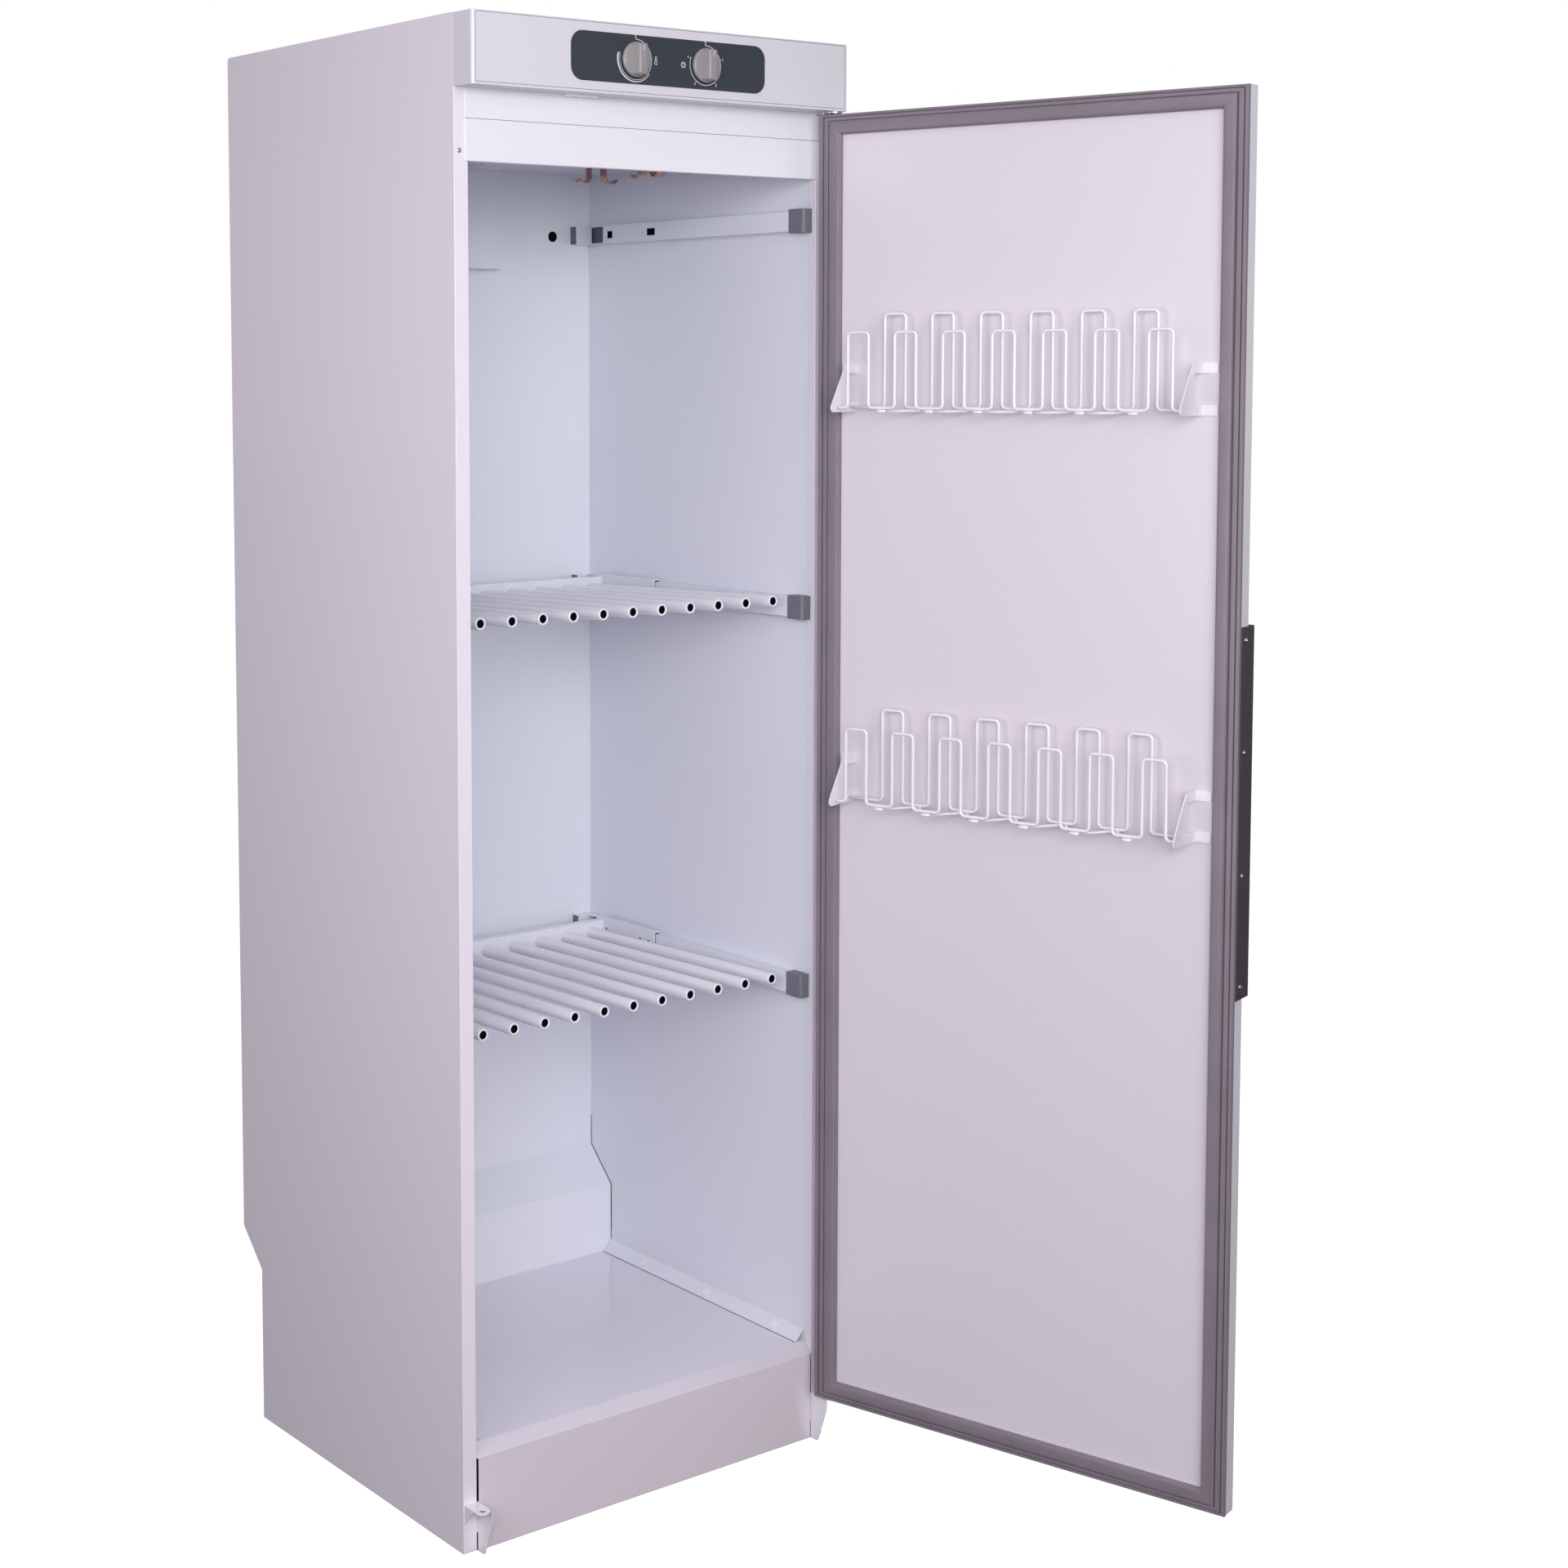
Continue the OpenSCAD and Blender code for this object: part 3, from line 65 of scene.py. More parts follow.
CARRIAGE_X, CARRIAGE_Y = 260.0, 328.0     # faces of the carriages, and their front ends
TUBES, TUBE_PITCH, TUBE_TILT = 11, 47.6, 1.7
CROSSBAR_Y = 453.0
TUBE_DROP = 3.5        # the tubes' axes at the crossbar, below the rail's middle
CASE = Matrix.Scale(MM, 4) @ Matrix.Translation((0, -CASE_D / 2, 0))
DOOR = (CASE @ Matrix.Translation(PIN) @ Matrix.Rotation(math.radians(DOOR_OPEN), 4, "Z")
        @ Matrix.Translation(-PIN))
KNOB_X, KNOB_Z = 55.3, 1856.0
KNOB_GAP = 0.4
PLATE_Y = -41.2


# ------------------------------------------------------------------ materials
COAT_ROUGHNESS = 0.12
PEEL_HEIGHT, PEEL_SCALE = 0.0015, 400.0     # the paints' orange peel, in mm and cycles a metre


class Nodes:
    """Builds one material's node tree around its Principled shader."""

    def __init__(self, name, color, roughness, metallic=0.0, specular=0.5):
        self.mat = bpy.data.materials.new(name)
        self.mat.use_nodes = True
        self.tree = self.mat.node_tree
        self.shader = self.tree.nodes["Principled BSDF"]
        self.shader.inputs["Base Color"].default_value = (*color, 1)
        self.shader.inputs["Roughness"].default_value = roughness
        self.shader.inputs["Metallic"].default_value = metallic
        self.shader.inputs["Specular IOR Level"].default_value = specular
        self.color = color
        self.coords = self.tree.nodes.new("ShaderNodeTexCoord").outputs["Object"]

    def add(self, kind, **values):
        node = self.tree.nodes.new(kind)
        for key, value in values.items():
            setattr(node, key, value)
        return node

    def link(self, a, b):
        self.tree.links.new(a, b)

    def noise(self, scale, detail=2.0):
        """Noise in the row frame, scale in cycles a metre."""
        noise = self.add("ShaderNodeTexNoise")
        noise.inputs["Scale"].default_value = scale
        noise.inputs["Detail"].default_value = detail
        self.link(self.coords, noise.inputs["Vector"])
        return noise.outputs["Fac"]

    def ramp(self, source, low, high, low_at=0.3, high_at=0.7):
        """Two colours blended by a source between two of its values."""
        ramp = self.add("ShaderNodeValToRGB")
        ramp.color_ramp.elements[0].position = low_at
        ramp.color_ramp.elements[1].position = high_at
        ramp.color_ramp.elements[0].color = (*low, 1)
        ramp.color_ramp.elements[1].color = (*high, 1)
        self.link(source, ramp.inputs["Fac"])
        return ramp.outputs["Color"]

    def vary_color(self, amount, scale, detail=3.0):
        """Makes the colour a share lighter and darker in patches."""
        low = tuple(max(0.0, c * (1 - amount)) for c in self.color)
        high = tuple(min(1.0, c * (1 + amount)) for c in self.color)
        out = self.ramp(self.noise(scale, detail), low, high)
        self.link(out, self.shader.inputs["Base Color"])

    def vary_roughness(self, low, high, scale, detail=3.0):
        out = self.ramp(self.noise(scale, detail), (low,) * 3, (high,) * 3)
        self.link(out, self.shader.inputs["Roughness"])

    def bump(self, height, scale):
        """Adds a bump of that height in millimetres."""
        bump = self.add("ShaderNodeBump")
        bump.inputs["Strength"].default_value = 1.0
        bump.inputs["Distance"].default_value = height * MM
        self.link(self.noise(scale), bump.inputs["Height"])
        self.link(bump.outputs["Normal"], self.shader.inputs["Normal"])

    def coat(self, weight):
        """Adds the gloss film of a paint."""
        self.shader.inputs["Coat Weight"].default_value = weight
        self.shader.inputs["Coat Roughness"].default_value = COAT_ROUGHNESS


def paint(name, color, roughness=0.3, coat=0.35):
    """Gloss enamel on sheet steel: a faint orange peel and a little unevenness."""
    m = Nodes(name, color, roughness)
    m.vary_color(0.003, 90.0, 4.0)
    m.vary_roughness(roughness * 0.98, roughness * 1.02, 90.0, 4.0)
    m.bump(PEEL_HEIGHT, PEEL_SCALE)
    m.coat(coat)
    return m.mat


def tray_paint(name, color, slope_painted_tone, kick_painted_tone):
    """Paint of the floor tray, with painted light and shade: its slope and kick face take their own
    colours by the way they face.
    """
    m = Nodes(name, color, 0.16)
    parts = m.add("ShaderNodeSeparateXYZ")
    m.link(m.add("ShaderNodeTexCoord").outputs["Normal"], parts.inputs[0])
    front = m.add("ShaderNodeMath", operation="MULTIPLY")
    front.inputs[1].default_value = -1.0
    m.link(parts.outputs["Y"], front.inputs[0])
    ramp = m.add("ShaderNodeValToRGB")
    # painted light and shade: the flat floor, the slope and the kick face each take a colour by the
    # way they face
    stops = ((0.3, color), (0.5, slope_painted_tone), (0.75, slope_painted_tone), (0.9, kick_painted_tone))
    elements = ramp.color_ramp.elements
    elements[0].position, elements[1].position = stops[0][0], stops[-1][0]
    elements[0].color, elements[1].color = (*stops[0][1], 1), (*stops[-1][1], 1)
    for position, tone in stops[1:-1]:
        elements.new(position).color = (*tone, 1)
    m.link(front.outputs[0], ramp.inputs["Fac"])
    m.link(ramp.outputs["Color"], m.shader.inputs["Base Color"])
    m.vary_roughness(0.155, 0.165, 90.0)
    m.bump(PEEL_HEIGHT, PEEL_SCALE)
    m.coat(0.6)
    return m.mat


def plastic(name, color, roughness, specular=0.5):
    """Moulded plastic with a fine grain."""
    m = Nodes(name, color, roughness, specular=specular)
    m.vary_color(0.04, 30.0)
    m.vary_roughness(roughness * 0.85, roughness * 1.15, 60.0)
    m.bump(0.02, 1500.0)
    return m.mat


def steel(name, color, roughness=0.3):
    """Bare or zinc-plated steel."""
    m = Nodes(name, color, roughness, metallic=1.0)
    m.vary_color(0.08, 90.0, 4.0)
    m.vary_roughness(roughness * 0.7, roughness * 1.4, 140.0, 4.0)
    m.bump(0.01, 900.0)
    return m.mat


def rubber(name, color):
    """Matt extruded rubber."""
    m = Nodes(name, color, 0.5)
    m.vary_color(0.05, 12.0)
    m.vary_roughness(0.42, 0.58, 40.0)
    m.bump(0.03, 700.0)
    m.shader.inputs["Sheen Weight"].default_value = 0.15
    return m.mat


def passivated(name):
    """Yellow-passivated zinc, whose film shifts from copper to violet."""
    m = Nodes(name, (0.42, 0.25, 0.22), 0.3, metallic=1.0)
    out = m.ramp(m.noise(70.0, 2.0), (0.30, 0.15, 0.24), (0.62, 0.40, 0.26), 0.35, 0.65)
    m.link(out, m.shader.inputs["Base Color"])
    m.vary_roughness(0.22, 0.4, 120.0)
    m.bump(0.01, 600.0)
    return m.mat


WHITE = paint("white_paint", (0.82, 0.80, 0.86))
# painted shade: a darker copy of the white paint on the fascia, whose front the lamps light more
# than the rest
FASCIA_SHADED_WHITE = paint("fascia_shaded_paint", (0.69, 0.67, 0.73), 0.36, 0.12)
SIDE_WHITE = paint("side_paint", (0.81, 0.75, 0.83), 0.36)
CHAMBER = paint("chamber_paint", (0.76, 0.768, 0.85), 0.24)
# painted light and shade on the tray's slope and kick face
FLOOR_WHITE = tray_paint("floor_paint", (0.78, 0.745, 0.83), (0.63, 0.60, 0.67), (0.74, 0.66, 0.73))
DOOR_WHITE = paint("door_paint", (0.72, 0.658, 0.735), 0.34, 0.3)
PAN_WHITE = paint("door_pan_paint", (0.84, 0.80, 0.85), 0.3, 0.5)
WIRE_WHITE = paint("wire_paint", (0.84, 0.81, 0.86), 0.3)
TUBE_WHITE = paint("tube_paint", (0.83, 0.81, 0.88), 0.2, 0.7)
SLATE = paint("slate_paint", (0.030, 0.038, 0.052), 0.5, 0.0)
HANDLE = paint("handle_paint", (0.064, 0.050, 0.067), 0.55, 0.0)
PRINT = plastic("dial_print", (0.70, 0.69, 0.70), 0.5)
KNOB = plastic("knob_plastic", (0.30, 0.28, 0.29), 0.32)
GASKET = rubber("gasket_rubber", (0.215, 0.178, 0.215))
STOP = plastic("stop_plastic", (0.165, 0.162, 0.20), 0.5)
ZINC = steel("zinc", (0.62, 0.62, 0.65))
HOOK = passivated("hook_zinc")
WHITE_PLASTIC = plastic("white_plastic", (0.80, 0.80, 0.82), 0.3)
DARK = plastic("dark_plastic", (0.02, 0.02, 0.023), 0.5)
# near-black: painted shade in the bores, mouths, holes, joints and corners, and the sensor's own
# dark face
SHADE_AND_SENSOR_BLACK = plastic("hollow", (0.006, 0.006, 0.007), 0.95, specular=0.0)
SHADE = plastic("shaded_sheet", (0.14, 0.15, 0.20), 0.6)
FOAM = plastic("foam", (0.66, 0.62, 0.48), 0.9)

LOOKS = {
    "side_panel_left": ("white_paint", SIDE_WHITE, 0.45),
    "side_panel_right": ("white_paint", SIDE_WHITE, 0.45),
    "back_panel": ("white_paint", SIDE_WHITE, 0.4),
    "base_plate": ("white_paint", SIDE_WHITE, 0.4),
    "top_panel": ("white_paint", SIDE_WHITE, 0.4),
    "liner_left": ("chamber_paint", CHAMBER, 0.0),
    "liner_right": ("chamber_paint", CHAMBER, 0.0),
    "liner_back": ("chamber_paint", CHAMBER, 0.4),
    "floor_tray": ("chamber_paint", FLOOR_WHITE, 0.45),
    "ceiling_panel": ("chamber_paint", CHAMBER, 0.3),
    "skirting_left": ("chamber_paint", CHAMBER, 0.2),
    "skirting_right": ("chamber_paint", CHAMBER, 0.2),
    "skirting_plugs": ("white_plastic", WHITE_PLASTIC, 0.4),
    "header_panel": ("white_paint", WHITE, 0.3),
    "cover_panel": ("white_paint", WHITE, 0.4),
    "fascia_housing": ("white_paint", FASCIA_SHADED_WHITE, 0.4),
    "fascia_front": ("white_paint", FASCIA_SHADED_WHITE, 0.3),
    "control_plate": ("slate_plate", SLATE, 0.35),
    "timer_switch": ("dark_plastic", DARK, 0.8),
    "thermostat": ("dark_plastic", DARK, 0.8),
    "fan_housing": ("zinc", ZINC, 0.4),
    "fan_motor": ("dark_plastic", DARK, 1.0),
    "heater_element": ("zinc", ZINC, 0.0),
    "thermal_cutout": ("white_plastic", WHITE_PLASTIC, 0.4),
    "terminal_block": ("white_plastic", WHITE_PLASTIC, 0.5),
    "cable_inlet": ("dark_plastic", DARK, 0.6),
    "exhaust_spigot": ("zinc", ZINC, 0.4),
    "air_duct_cover": ("chamber_paint", CHAMBER, 0.4),
    "wall_rails_left": ("white_paint", CHAMBER, 0.45),
    "wall_rails_right": ("white_paint", CHAMBER, 0.45),
    "rail_end_stops": ("stop_plastic", STOP, 1.2),
    "hinge_bracket_upper": ("zinc", ZINC, 0.4),
    "hinge_bracket_lower": ("white_paint", WHITE, 0.4),
    "hinge_bracket_spare": ("white_paint", WHITE, 0.4),
    "hinge_pins": ("zinc", ZINC, 0.3),
    "fan_impeller": ("dark_plastic", DARK, 0.4),
    "middle_crossbar": ("white_paint", CHAMBER, 0.45),
    "lower_crossbar": ("white_paint", CHAMBER, 0.45),
    "middle_tubes": ("chamber_paint", TUBE_WHITE, 0.0),
    "lower_tubes": ("chamber_paint", TUBE_WHITE, 0.0),
    "middle_carriages": ("white_paint", CHAMBER, 0.4),
    "lower_carriages": ("white_paint", CHAMBER, 0.4),
    "door_outer_panel": ("door_paint", PAN_WHITE, 0.45),
    "door_core": ("foam", FOAM, 0.0),
    "door_inner_panel": ("door_paint", DOOR_WHITE, 0.0),
    "hinge_bushes": ("dark_plastic", DARK, 0.3),
    "upper_rack_front_wire": ("door_paint", WIRE_WHITE, 0.0),
    "upper_rack_back_wire": ("door_paint", WIRE_WHITE, 0.0),
    "lower_rack_front_wire": ("door_paint", WIRE_WHITE, 0.0),
    "lower_rack_back_wire": ("door_paint", WIRE_WHITE, 0.0),
    "rack_base_wires": ("door_paint", WIRE_WHITE, 0.0),
    "rack_brackets": ("door_paint", WIRE_WHITE, 0.45),
}
BODY_OF = {n: body for body, members in frame["record"]["behaviour"]["bodies"].items()
           for n in members}


# ------------------------------------------------------------------ mesh tools
SHARP_ANGLE = 32.0     # edges that turn more than this are bevelled or stay sharp
LINER_ANGLE = 8.0      # the liners' pressed bands have shallow creases, which stay sharp
BEVEL_SEGMENTS = 2
WELD = 2e-6            # metres, between vertices that become one
FLAT_ANGLE = 1.0       # faces that turn less than this are joined before a bevel


def finish_mesh(obj, bevel, angle):
    """Bevels the sharp edges, weights the normals by face area and keeps a plain mesh."""
    mesh = obj.data
    mesh.shade_smooth()
    mesh.set_sharp_from_angle(angle=math.radians(angle))
    if bevel > 0:
        mod = obj.modifiers.new("bevel", "BEVEL")
        mod.width = bevel * MM
        mod.segments = BEVEL_SEGMENTS
        mod.limit_method = "ANGLE"
        mod.angle_limit = math.radians(angle)
        mod.use_clamp_overlap = True
        mod.miter_outer = "MITER_ARC"
        weighted = obj.modifiers.new("normals", "WEIGHTED_NORMAL")
        weighted.keep_sharp = True
        weighted.weight = 80
        depsgraph = bpy.context.evaluated_depsgraph_get()
        result = bpy.data.meshes.new_from_object(obj.evaluated_get(depsgraph))
        obj.modifiers.clear()
        obj.data = result


def build(name, bm, body, material, matrix=CASE, replaces=(), bevel=0.0,
          angle=SHARP_ANGLE):
    """Turns a bmesh in millimetres into a dressed piece that rides on a body."""
    bmesh.ops.transform(bm, matrix=matrix, verts=bm.verts)
    bmesh.ops.recalc_face_normals(bm, faces=bm.faces)
    mesh = bpy.data.meshes.new(name)
    bm.to_mesh(mesh)
    bm.free()
    mesh.materials.append(material)
    obj = bpy.data.objects.new(name, mesh)
    bpy.context.scene.collection.objects.link(obj)
    finish_mesh(obj, bevel, angle)
    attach(obj, body)
    if replaces:
        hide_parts(*replaces)


def refine(node, material, bevel):
    """Replaces a CAD node by its own shape with rounded edges and a finish."""
    bm = bmesh.new()
    bm.from_mesh(NODES[node].data)
    bmesh.ops.remove_doubles(bm, verts=bm.verts, dist=WELD)
    if bevel > 0:
        bmesh.ops.dissolve_limit(bm, angle_limit=math.radians(FLAT_ANGLE), verts=bm.verts,
                                 edges=bm.edges)
    angle = LINER_ANGLE if node in ("liner_left", "liner_right") else SHARP_ANGLE
    build(node + "_look", bm, BODY_OF[node], material, Matrix.Identity(4), (node,), bevel,
          angle)


def extrude_outline(points, low, high, plane="xz"):
    """A prism over a closed outline. An xz outline is seen from the front, extruded along y."""
    bm = bmesh.new()
    place = {"xz": lambda a, b, c: (a, c, b), "xy": lambda a, b, c: (a, b, c),
             "yz": lambda a, b, c: (c, a, b)}[plane]
    bottom = [bm.verts.new(place(a, b, low)) for a, b in points]
    top = [bm.verts.new(place(a, b, high)) for a, b in points]
    bm.faces.new(bottom)
    bm.faces.new(list(reversed(top)))
    count = len(points)
    for i in range(count):
        j = (i + 1) % count
        bm.faces.new((bottom[i], top[i], top[j], bottom[j]))
    return bm


def lathe(profile, steps):
    """Turns a profile of (radius, height) round the z axis; ends at radius 0 are closed."""
    bm = bmesh.new()
    rings = []
    for r, h in profile:
        if r == 0:
            rings.append([bm.verts.new((0, 0, h))])
        else:
            rings.append([bm.verts.new((r * math.cos(2 * math.pi * i / steps),
                                        r * math.sin(2 * math.pi * i / steps), h))
                          for i in range(steps)])
    for a, b in zip(rings, rings[1:]):
        for i in range(steps):
            j = (i + 1) % steps
            if len(a) == 1 and len(b) > 1:
                bm.faces.new((a[0], b[i], b[j]))
            elif len(b) == 1 and len(a) > 1:
                bm.faces.new((a[i], a[j], b[0]))
            elif len(a) > 1:
                bm.faces.new((a[i], a[j], b[j], b[i]))
    return bm


def ribbon(path, width_axis, half_width, thickness, normals):
    """A bent strip: a path in space, the direction of its width and a normal at each point."""
    bm = bmesh.new()
    rows = []
    for p, n in zip(path, normals):
        w = width_axis * half_width
        t = n * (thickness / 2)
        rows.append([bm.verts.new(p - w - t), bm.verts.new(p + w - t),
                     bm.verts.new(p + w + t), bm.verts.new(p - w + t)])
    for a, b in zip(rows, rows[1:]):
        for i in range(4):
            j = (i + 1) % 4
            bm.faces.new((a[i], a[j], b[j], b[i]))
    bm.faces.new(rows[0])
    bm.faces.new(list(reversed(rows[-1])))
    return bm


def arc(cx, cy, r, a0, a1, steps):
    """Points on a circle; angles in degrees, anticlockwise from the right."""
    return [(cx + r * math.cos(math.radians(a0 + (a1 - a0) * i / steps)),
             cy + r * math.sin(math.radians(a0 + (a1 - a0) * i / steps))) for i in range(steps + 1)]


def merge(target, source, matrix=Matrix.Identity(4)):
    """Adds one bmesh to another."""
    mesh = bpy.data.meshes.new("merge")
    bmesh.ops.transform(source, matrix=matrix, verts=source.verts)
    source.to_mesh(mesh)
    source.free()
    target.from_mesh(mesh)
    bpy.data.meshes.remove(mesh)


def facing(origin, out):
    """Frame whose z axis points along out, for a lathed piece."""
    return Matrix.Translation(origin) @ Vector(out).to_track_quat("Z", "Y").to_matrix().to_4x4()


# ------------------------------------------------------------------ dressed CAD nodes
for node_name, (slot_name, look, bevel_mm) in LOOKS.items():
    refine(node_name, look, bevel_mm)


# ------------------------------------------------------------------ control panel
def flat_arc(cx, cz, r0, r1, a0, a1, r1_end=None):
    """A printed arc; angles run clockwise from the top. r1_end makes it a wedge."""
    steps = 40
    outer, inner = [], []
    for i in range(steps + 1):
        t = i / steps
        a = math.radians(a0 + (a1 - a0) * t)
        ro = r1 + ((r1_end if r1_end is not None else r1) - r1) * t
        outer.append((cx + ro * math.sin(a), cz + ro * math.cos(a)))
        inner.append((cx + r0 * math.sin(a), cz + r0 * math.cos(a)))
    return outer + inner[::-1]


def stroke(points, width):
    """Outline of a thin line through points."""
    left, right = [], []
    for i, (x, z) in enumerate(points):
        x0, z0 = points[max(0, i - 1)]
        x1, z1 = points[min(len(points) - 1, i + 1)]
        d = Vector((x1 - x0, z1 - z0)).normalized() * (width / 2)
        left.append((x - d.y, z + d.x))
        right.append((x + d.y, z - d.x))
    return left + right[::-1]


# Each digit is one stroke, 3 mm high but for the zero, which is stretched where it is drawn.
DIGITS = {
    "0": arc(0.0, 0.0, 1.0, 0, 360, 20),
    "1": [(-0.6, 0.9), (0.15, 1.5), (0.15, -1.5)],
    "2": [(-0.85, 0.8), (-0.5, 1.35), (0.2, 1.5), (0.8, 1.1), (0.8, 0.5), (0.2, -0.3),
          (-0.9, -1.45), (0.95, -1.45)],
    "3": [(-0.8, 1.3), (0.0, 1.5), (0.75, 1.1), (0.7, 0.4), (0.0, 0.1), (0.75, -0.3),
          (0.8, -1.0), (0.1, -1.5), (-0.85, -1.3)],
    "4": [(0.45, -1.5), (0.45, 1.5), (-0.9, -0.6), (1.0, -0.6)],
}
DIGIT_LINE, MARK_LINE = 0.6, 0.8
ARC_R = 24.4           # inner radius of the printed arcs


def dial_prints():
    """White prints round the two knobs, on the dark plate."""
    bm = bmesh.new()

    def add(outline):
        merge(bm, extrude_outline(outline, PLATE_Y - 0.08, PLATE_Y + 0.3))

    for centre in (-KNOB_X, KNOB_X):
        # the zero mark over each knob, and its tick
        add(stroke([(centre + x * 0.9, KNOB_Z + 28.6 + z * 1.5) for x, z in DIGITS["0"]],
                   DIGIT_LINE))
        add(stroke([(centre, KNOB_Z + 24.6), (centre, KNOB_Z + 27.0)], MARK_LINE))
    # temperature: a thin arc that grows into an outlined wedge, and a thermometer
    for r0, r1, a0, a1, r1_end in ((ARC_R, 25.2, 0, 130, None), (ARC_R, 25.0, 130, 285, None),
                                   (26.6, 27.3, 130, 285, 29.0), (ARC_R, 27.0, 129, 131.5, None),
                                   (ARC_R, 29.0, 283, 286, None)):
        add(flat_arc(-KNOB_X, KNOB_Z, r0, r1, a0, a1, r1_end))
    tx, tz = -KNOB_X + 31.5, KNOB_Z + 1.0
    add(stroke(arc(tx, tz - 3.2, 2.0, 120, 420, 20), MARK_LINE))
    add(stroke([(tx - 1.0, tz - 1.6), (tx - 1.0, tz + 3.6), (tx, tz + 4.6), (tx + 1.0, tz + 3.6),
                (tx + 1.0, tz - 1.6)], MARK_LINE))
    # timer: a thin arc with its hours, and a clock
    add(flat_arc(KNOB_X, KNOB_Z, ARC_R, 25.2, 0, 292))
    for digit, angle in (("1", 72), ("2", 144), ("3", 216), ("4", 288)):
        a = math.radians(angle)
        (cx, cz), tick_in, tick_out = [(KNOB_X + r * math.sin(a), KNOB_Z + r * math.cos(a))
                                       for r in (29.3, 24.6, 26.8)]
        add(stroke([(cx + x, cz + z) for x, z in DIGITS[digit]], DIGIT_LINE))
        add(stroke([tick_in, tick_out], MARK_LINE))
    kx, kz = KNOB_X - 35.5, KNOB_Z - 1.5
    add(stroke(arc(kx, kz, 3.1, 0, 360, 28), 1.1))
    add(stroke([(kx + 0.2, kz + 1.7), (kx, kz), (kx + 1.4, kz)], DIGIT_LINE))
    build("dial_prints", bm, "cabinet", PRINT)


dial_prints()


def clipped_disc(r, half_w):
    """Outline of a disc cut by two lines at x = +-half_w, as in a knob's grip."""
    a = math.degrees(math.acos(half_w / r))
    return arc(0, 0, r, a, 180 - a, 20) + arc(0, 0, r, 180 + a, 360 - a, 20)


def knob(node, body, x):
    """Disc with a rounded rim and a wide grip bar with sloping flanks, on its shaft."""
    bm = lathe([(0, 0.0), (19.5, 0.0), (21.2, 0.4), (21.5, 1.2), (21.5, 2.6), (21.1, 3.7),
                (20.0, 4.6), (18.5, 5.0), (0, 5.0)], 96)
    # the grip's radius, half width and height, from its foot to its top
    levels = [(20.0, 9.4, 4.6), (19.9, 8.6, 7.0), (19.6, 7.2, 12.0), (19.1, 6.4, 15.2),
              (18.4, 5.6, 16.4), (17.2, 4.6, 16.9)]
    rows = []
    for r, half_w, h in levels:
        rows.append([bm.verts.new((px, py, h)) for px, py in clipped_disc(r, half_w)])
    for a, b in zip(rows, rows[1:]):
        for i in range(len(a)):
            j = (i + 1) % len(a)
            bm.faces.new((a[i], a[j], b[j], b[i]))
    bm.faces.new(rows[-1])
    bm.faces.new(list(reversed(rows[0])))
    merge(bm, lathe([(0, -21.9), (3.0, -21.9), (3.0, 0.2), (0, 0.2)], 32))
    place = CASE @ facing((x, PLATE_Y - KNOB_GAP, KNOB_Z), (0, -1, 0))
    build(node + "_look", bm, body, KNOB, place, (node,))
    pointer = extrude_outline(stroke([(0, 10.0), (0, 16.4)], 0.9), 16.7, 16.95, "xy")
    build(node + "_pointer", pointer, body, PRINT, place)


knob("temperature_knob", "temperature_dial", -KNOB_X)
knob("timer_knob", "timer_dial", KNOB_X)


# ------------------------------------------------------------------ gasket
def gasket():
    """Extruded rubber profile with mitred corners. Outside its tube it is narrower at the ends."""
    half_x, z0, z1 = 297.0, 70.0, 1807.0
    side_w, end_w = 15.0, 9.5
    # distance from the side's edge, and y
    profile = [(2.6, -13.0), (2.6, -10.3), (0.2, -10.3), (0.0, -9.9), (0.0, -6.2), (0.4, -5.3),
               (1.2, -5.0), (4.0, -5.0), (4.7, -5.3), (5.0, -6.2), (5.2, -9.4), (6.2, -9.4),
               (6.4, -7.2), (6.9, -6.3), (7.8, -6.0), (12.0, -6.0), (13.0, -6.4), (13.4, -7.4),
               (13.6, -9.8), (14.8, -9.8), (15.0, -5.6), (15.6, -4.2), (17.2, -3.2), (20.0, -2.75),
               (23.0, -2.6), (26.0, -2.75), (28.8, -3.3), (30.4, -4.3), (31.0, -5.4), (31.1, -6.4),
               (30.6, -6.9), (31.4, -7.4), (32.0, -8.4), (32.0, -12.2), (31.7, -13.0)]

    def down(d):
        """The distance from an end's edge that goes with one from the side's edge."""
        return d * end_w / side_w if d < side_w else d - (side_w - end_w)

    bm = bmesh.new()
    rows = []
    for d, y in profile:
        x, dz = half_x - d, down(d)
        rows.append([bm.verts.new(p) for p in ((-x, y, z0 + dz), (x, y, z0 + dz),
                                               (x, y, z1 - dz), (-x, y, z1 - dz))])
    count = len(rows)
    for k in range(count):
        a, b = rows[k], rows[(k + 1) % count]
        for i in range(4):
            j = (i + 1) % 4
            bm.faces.new((a[i], a[j], b[j], b[i]))
    build("door_gasket_look", bm, "door", GASKET, DOOR, ("door_gasket",),
          angle=38.0)


gasket()


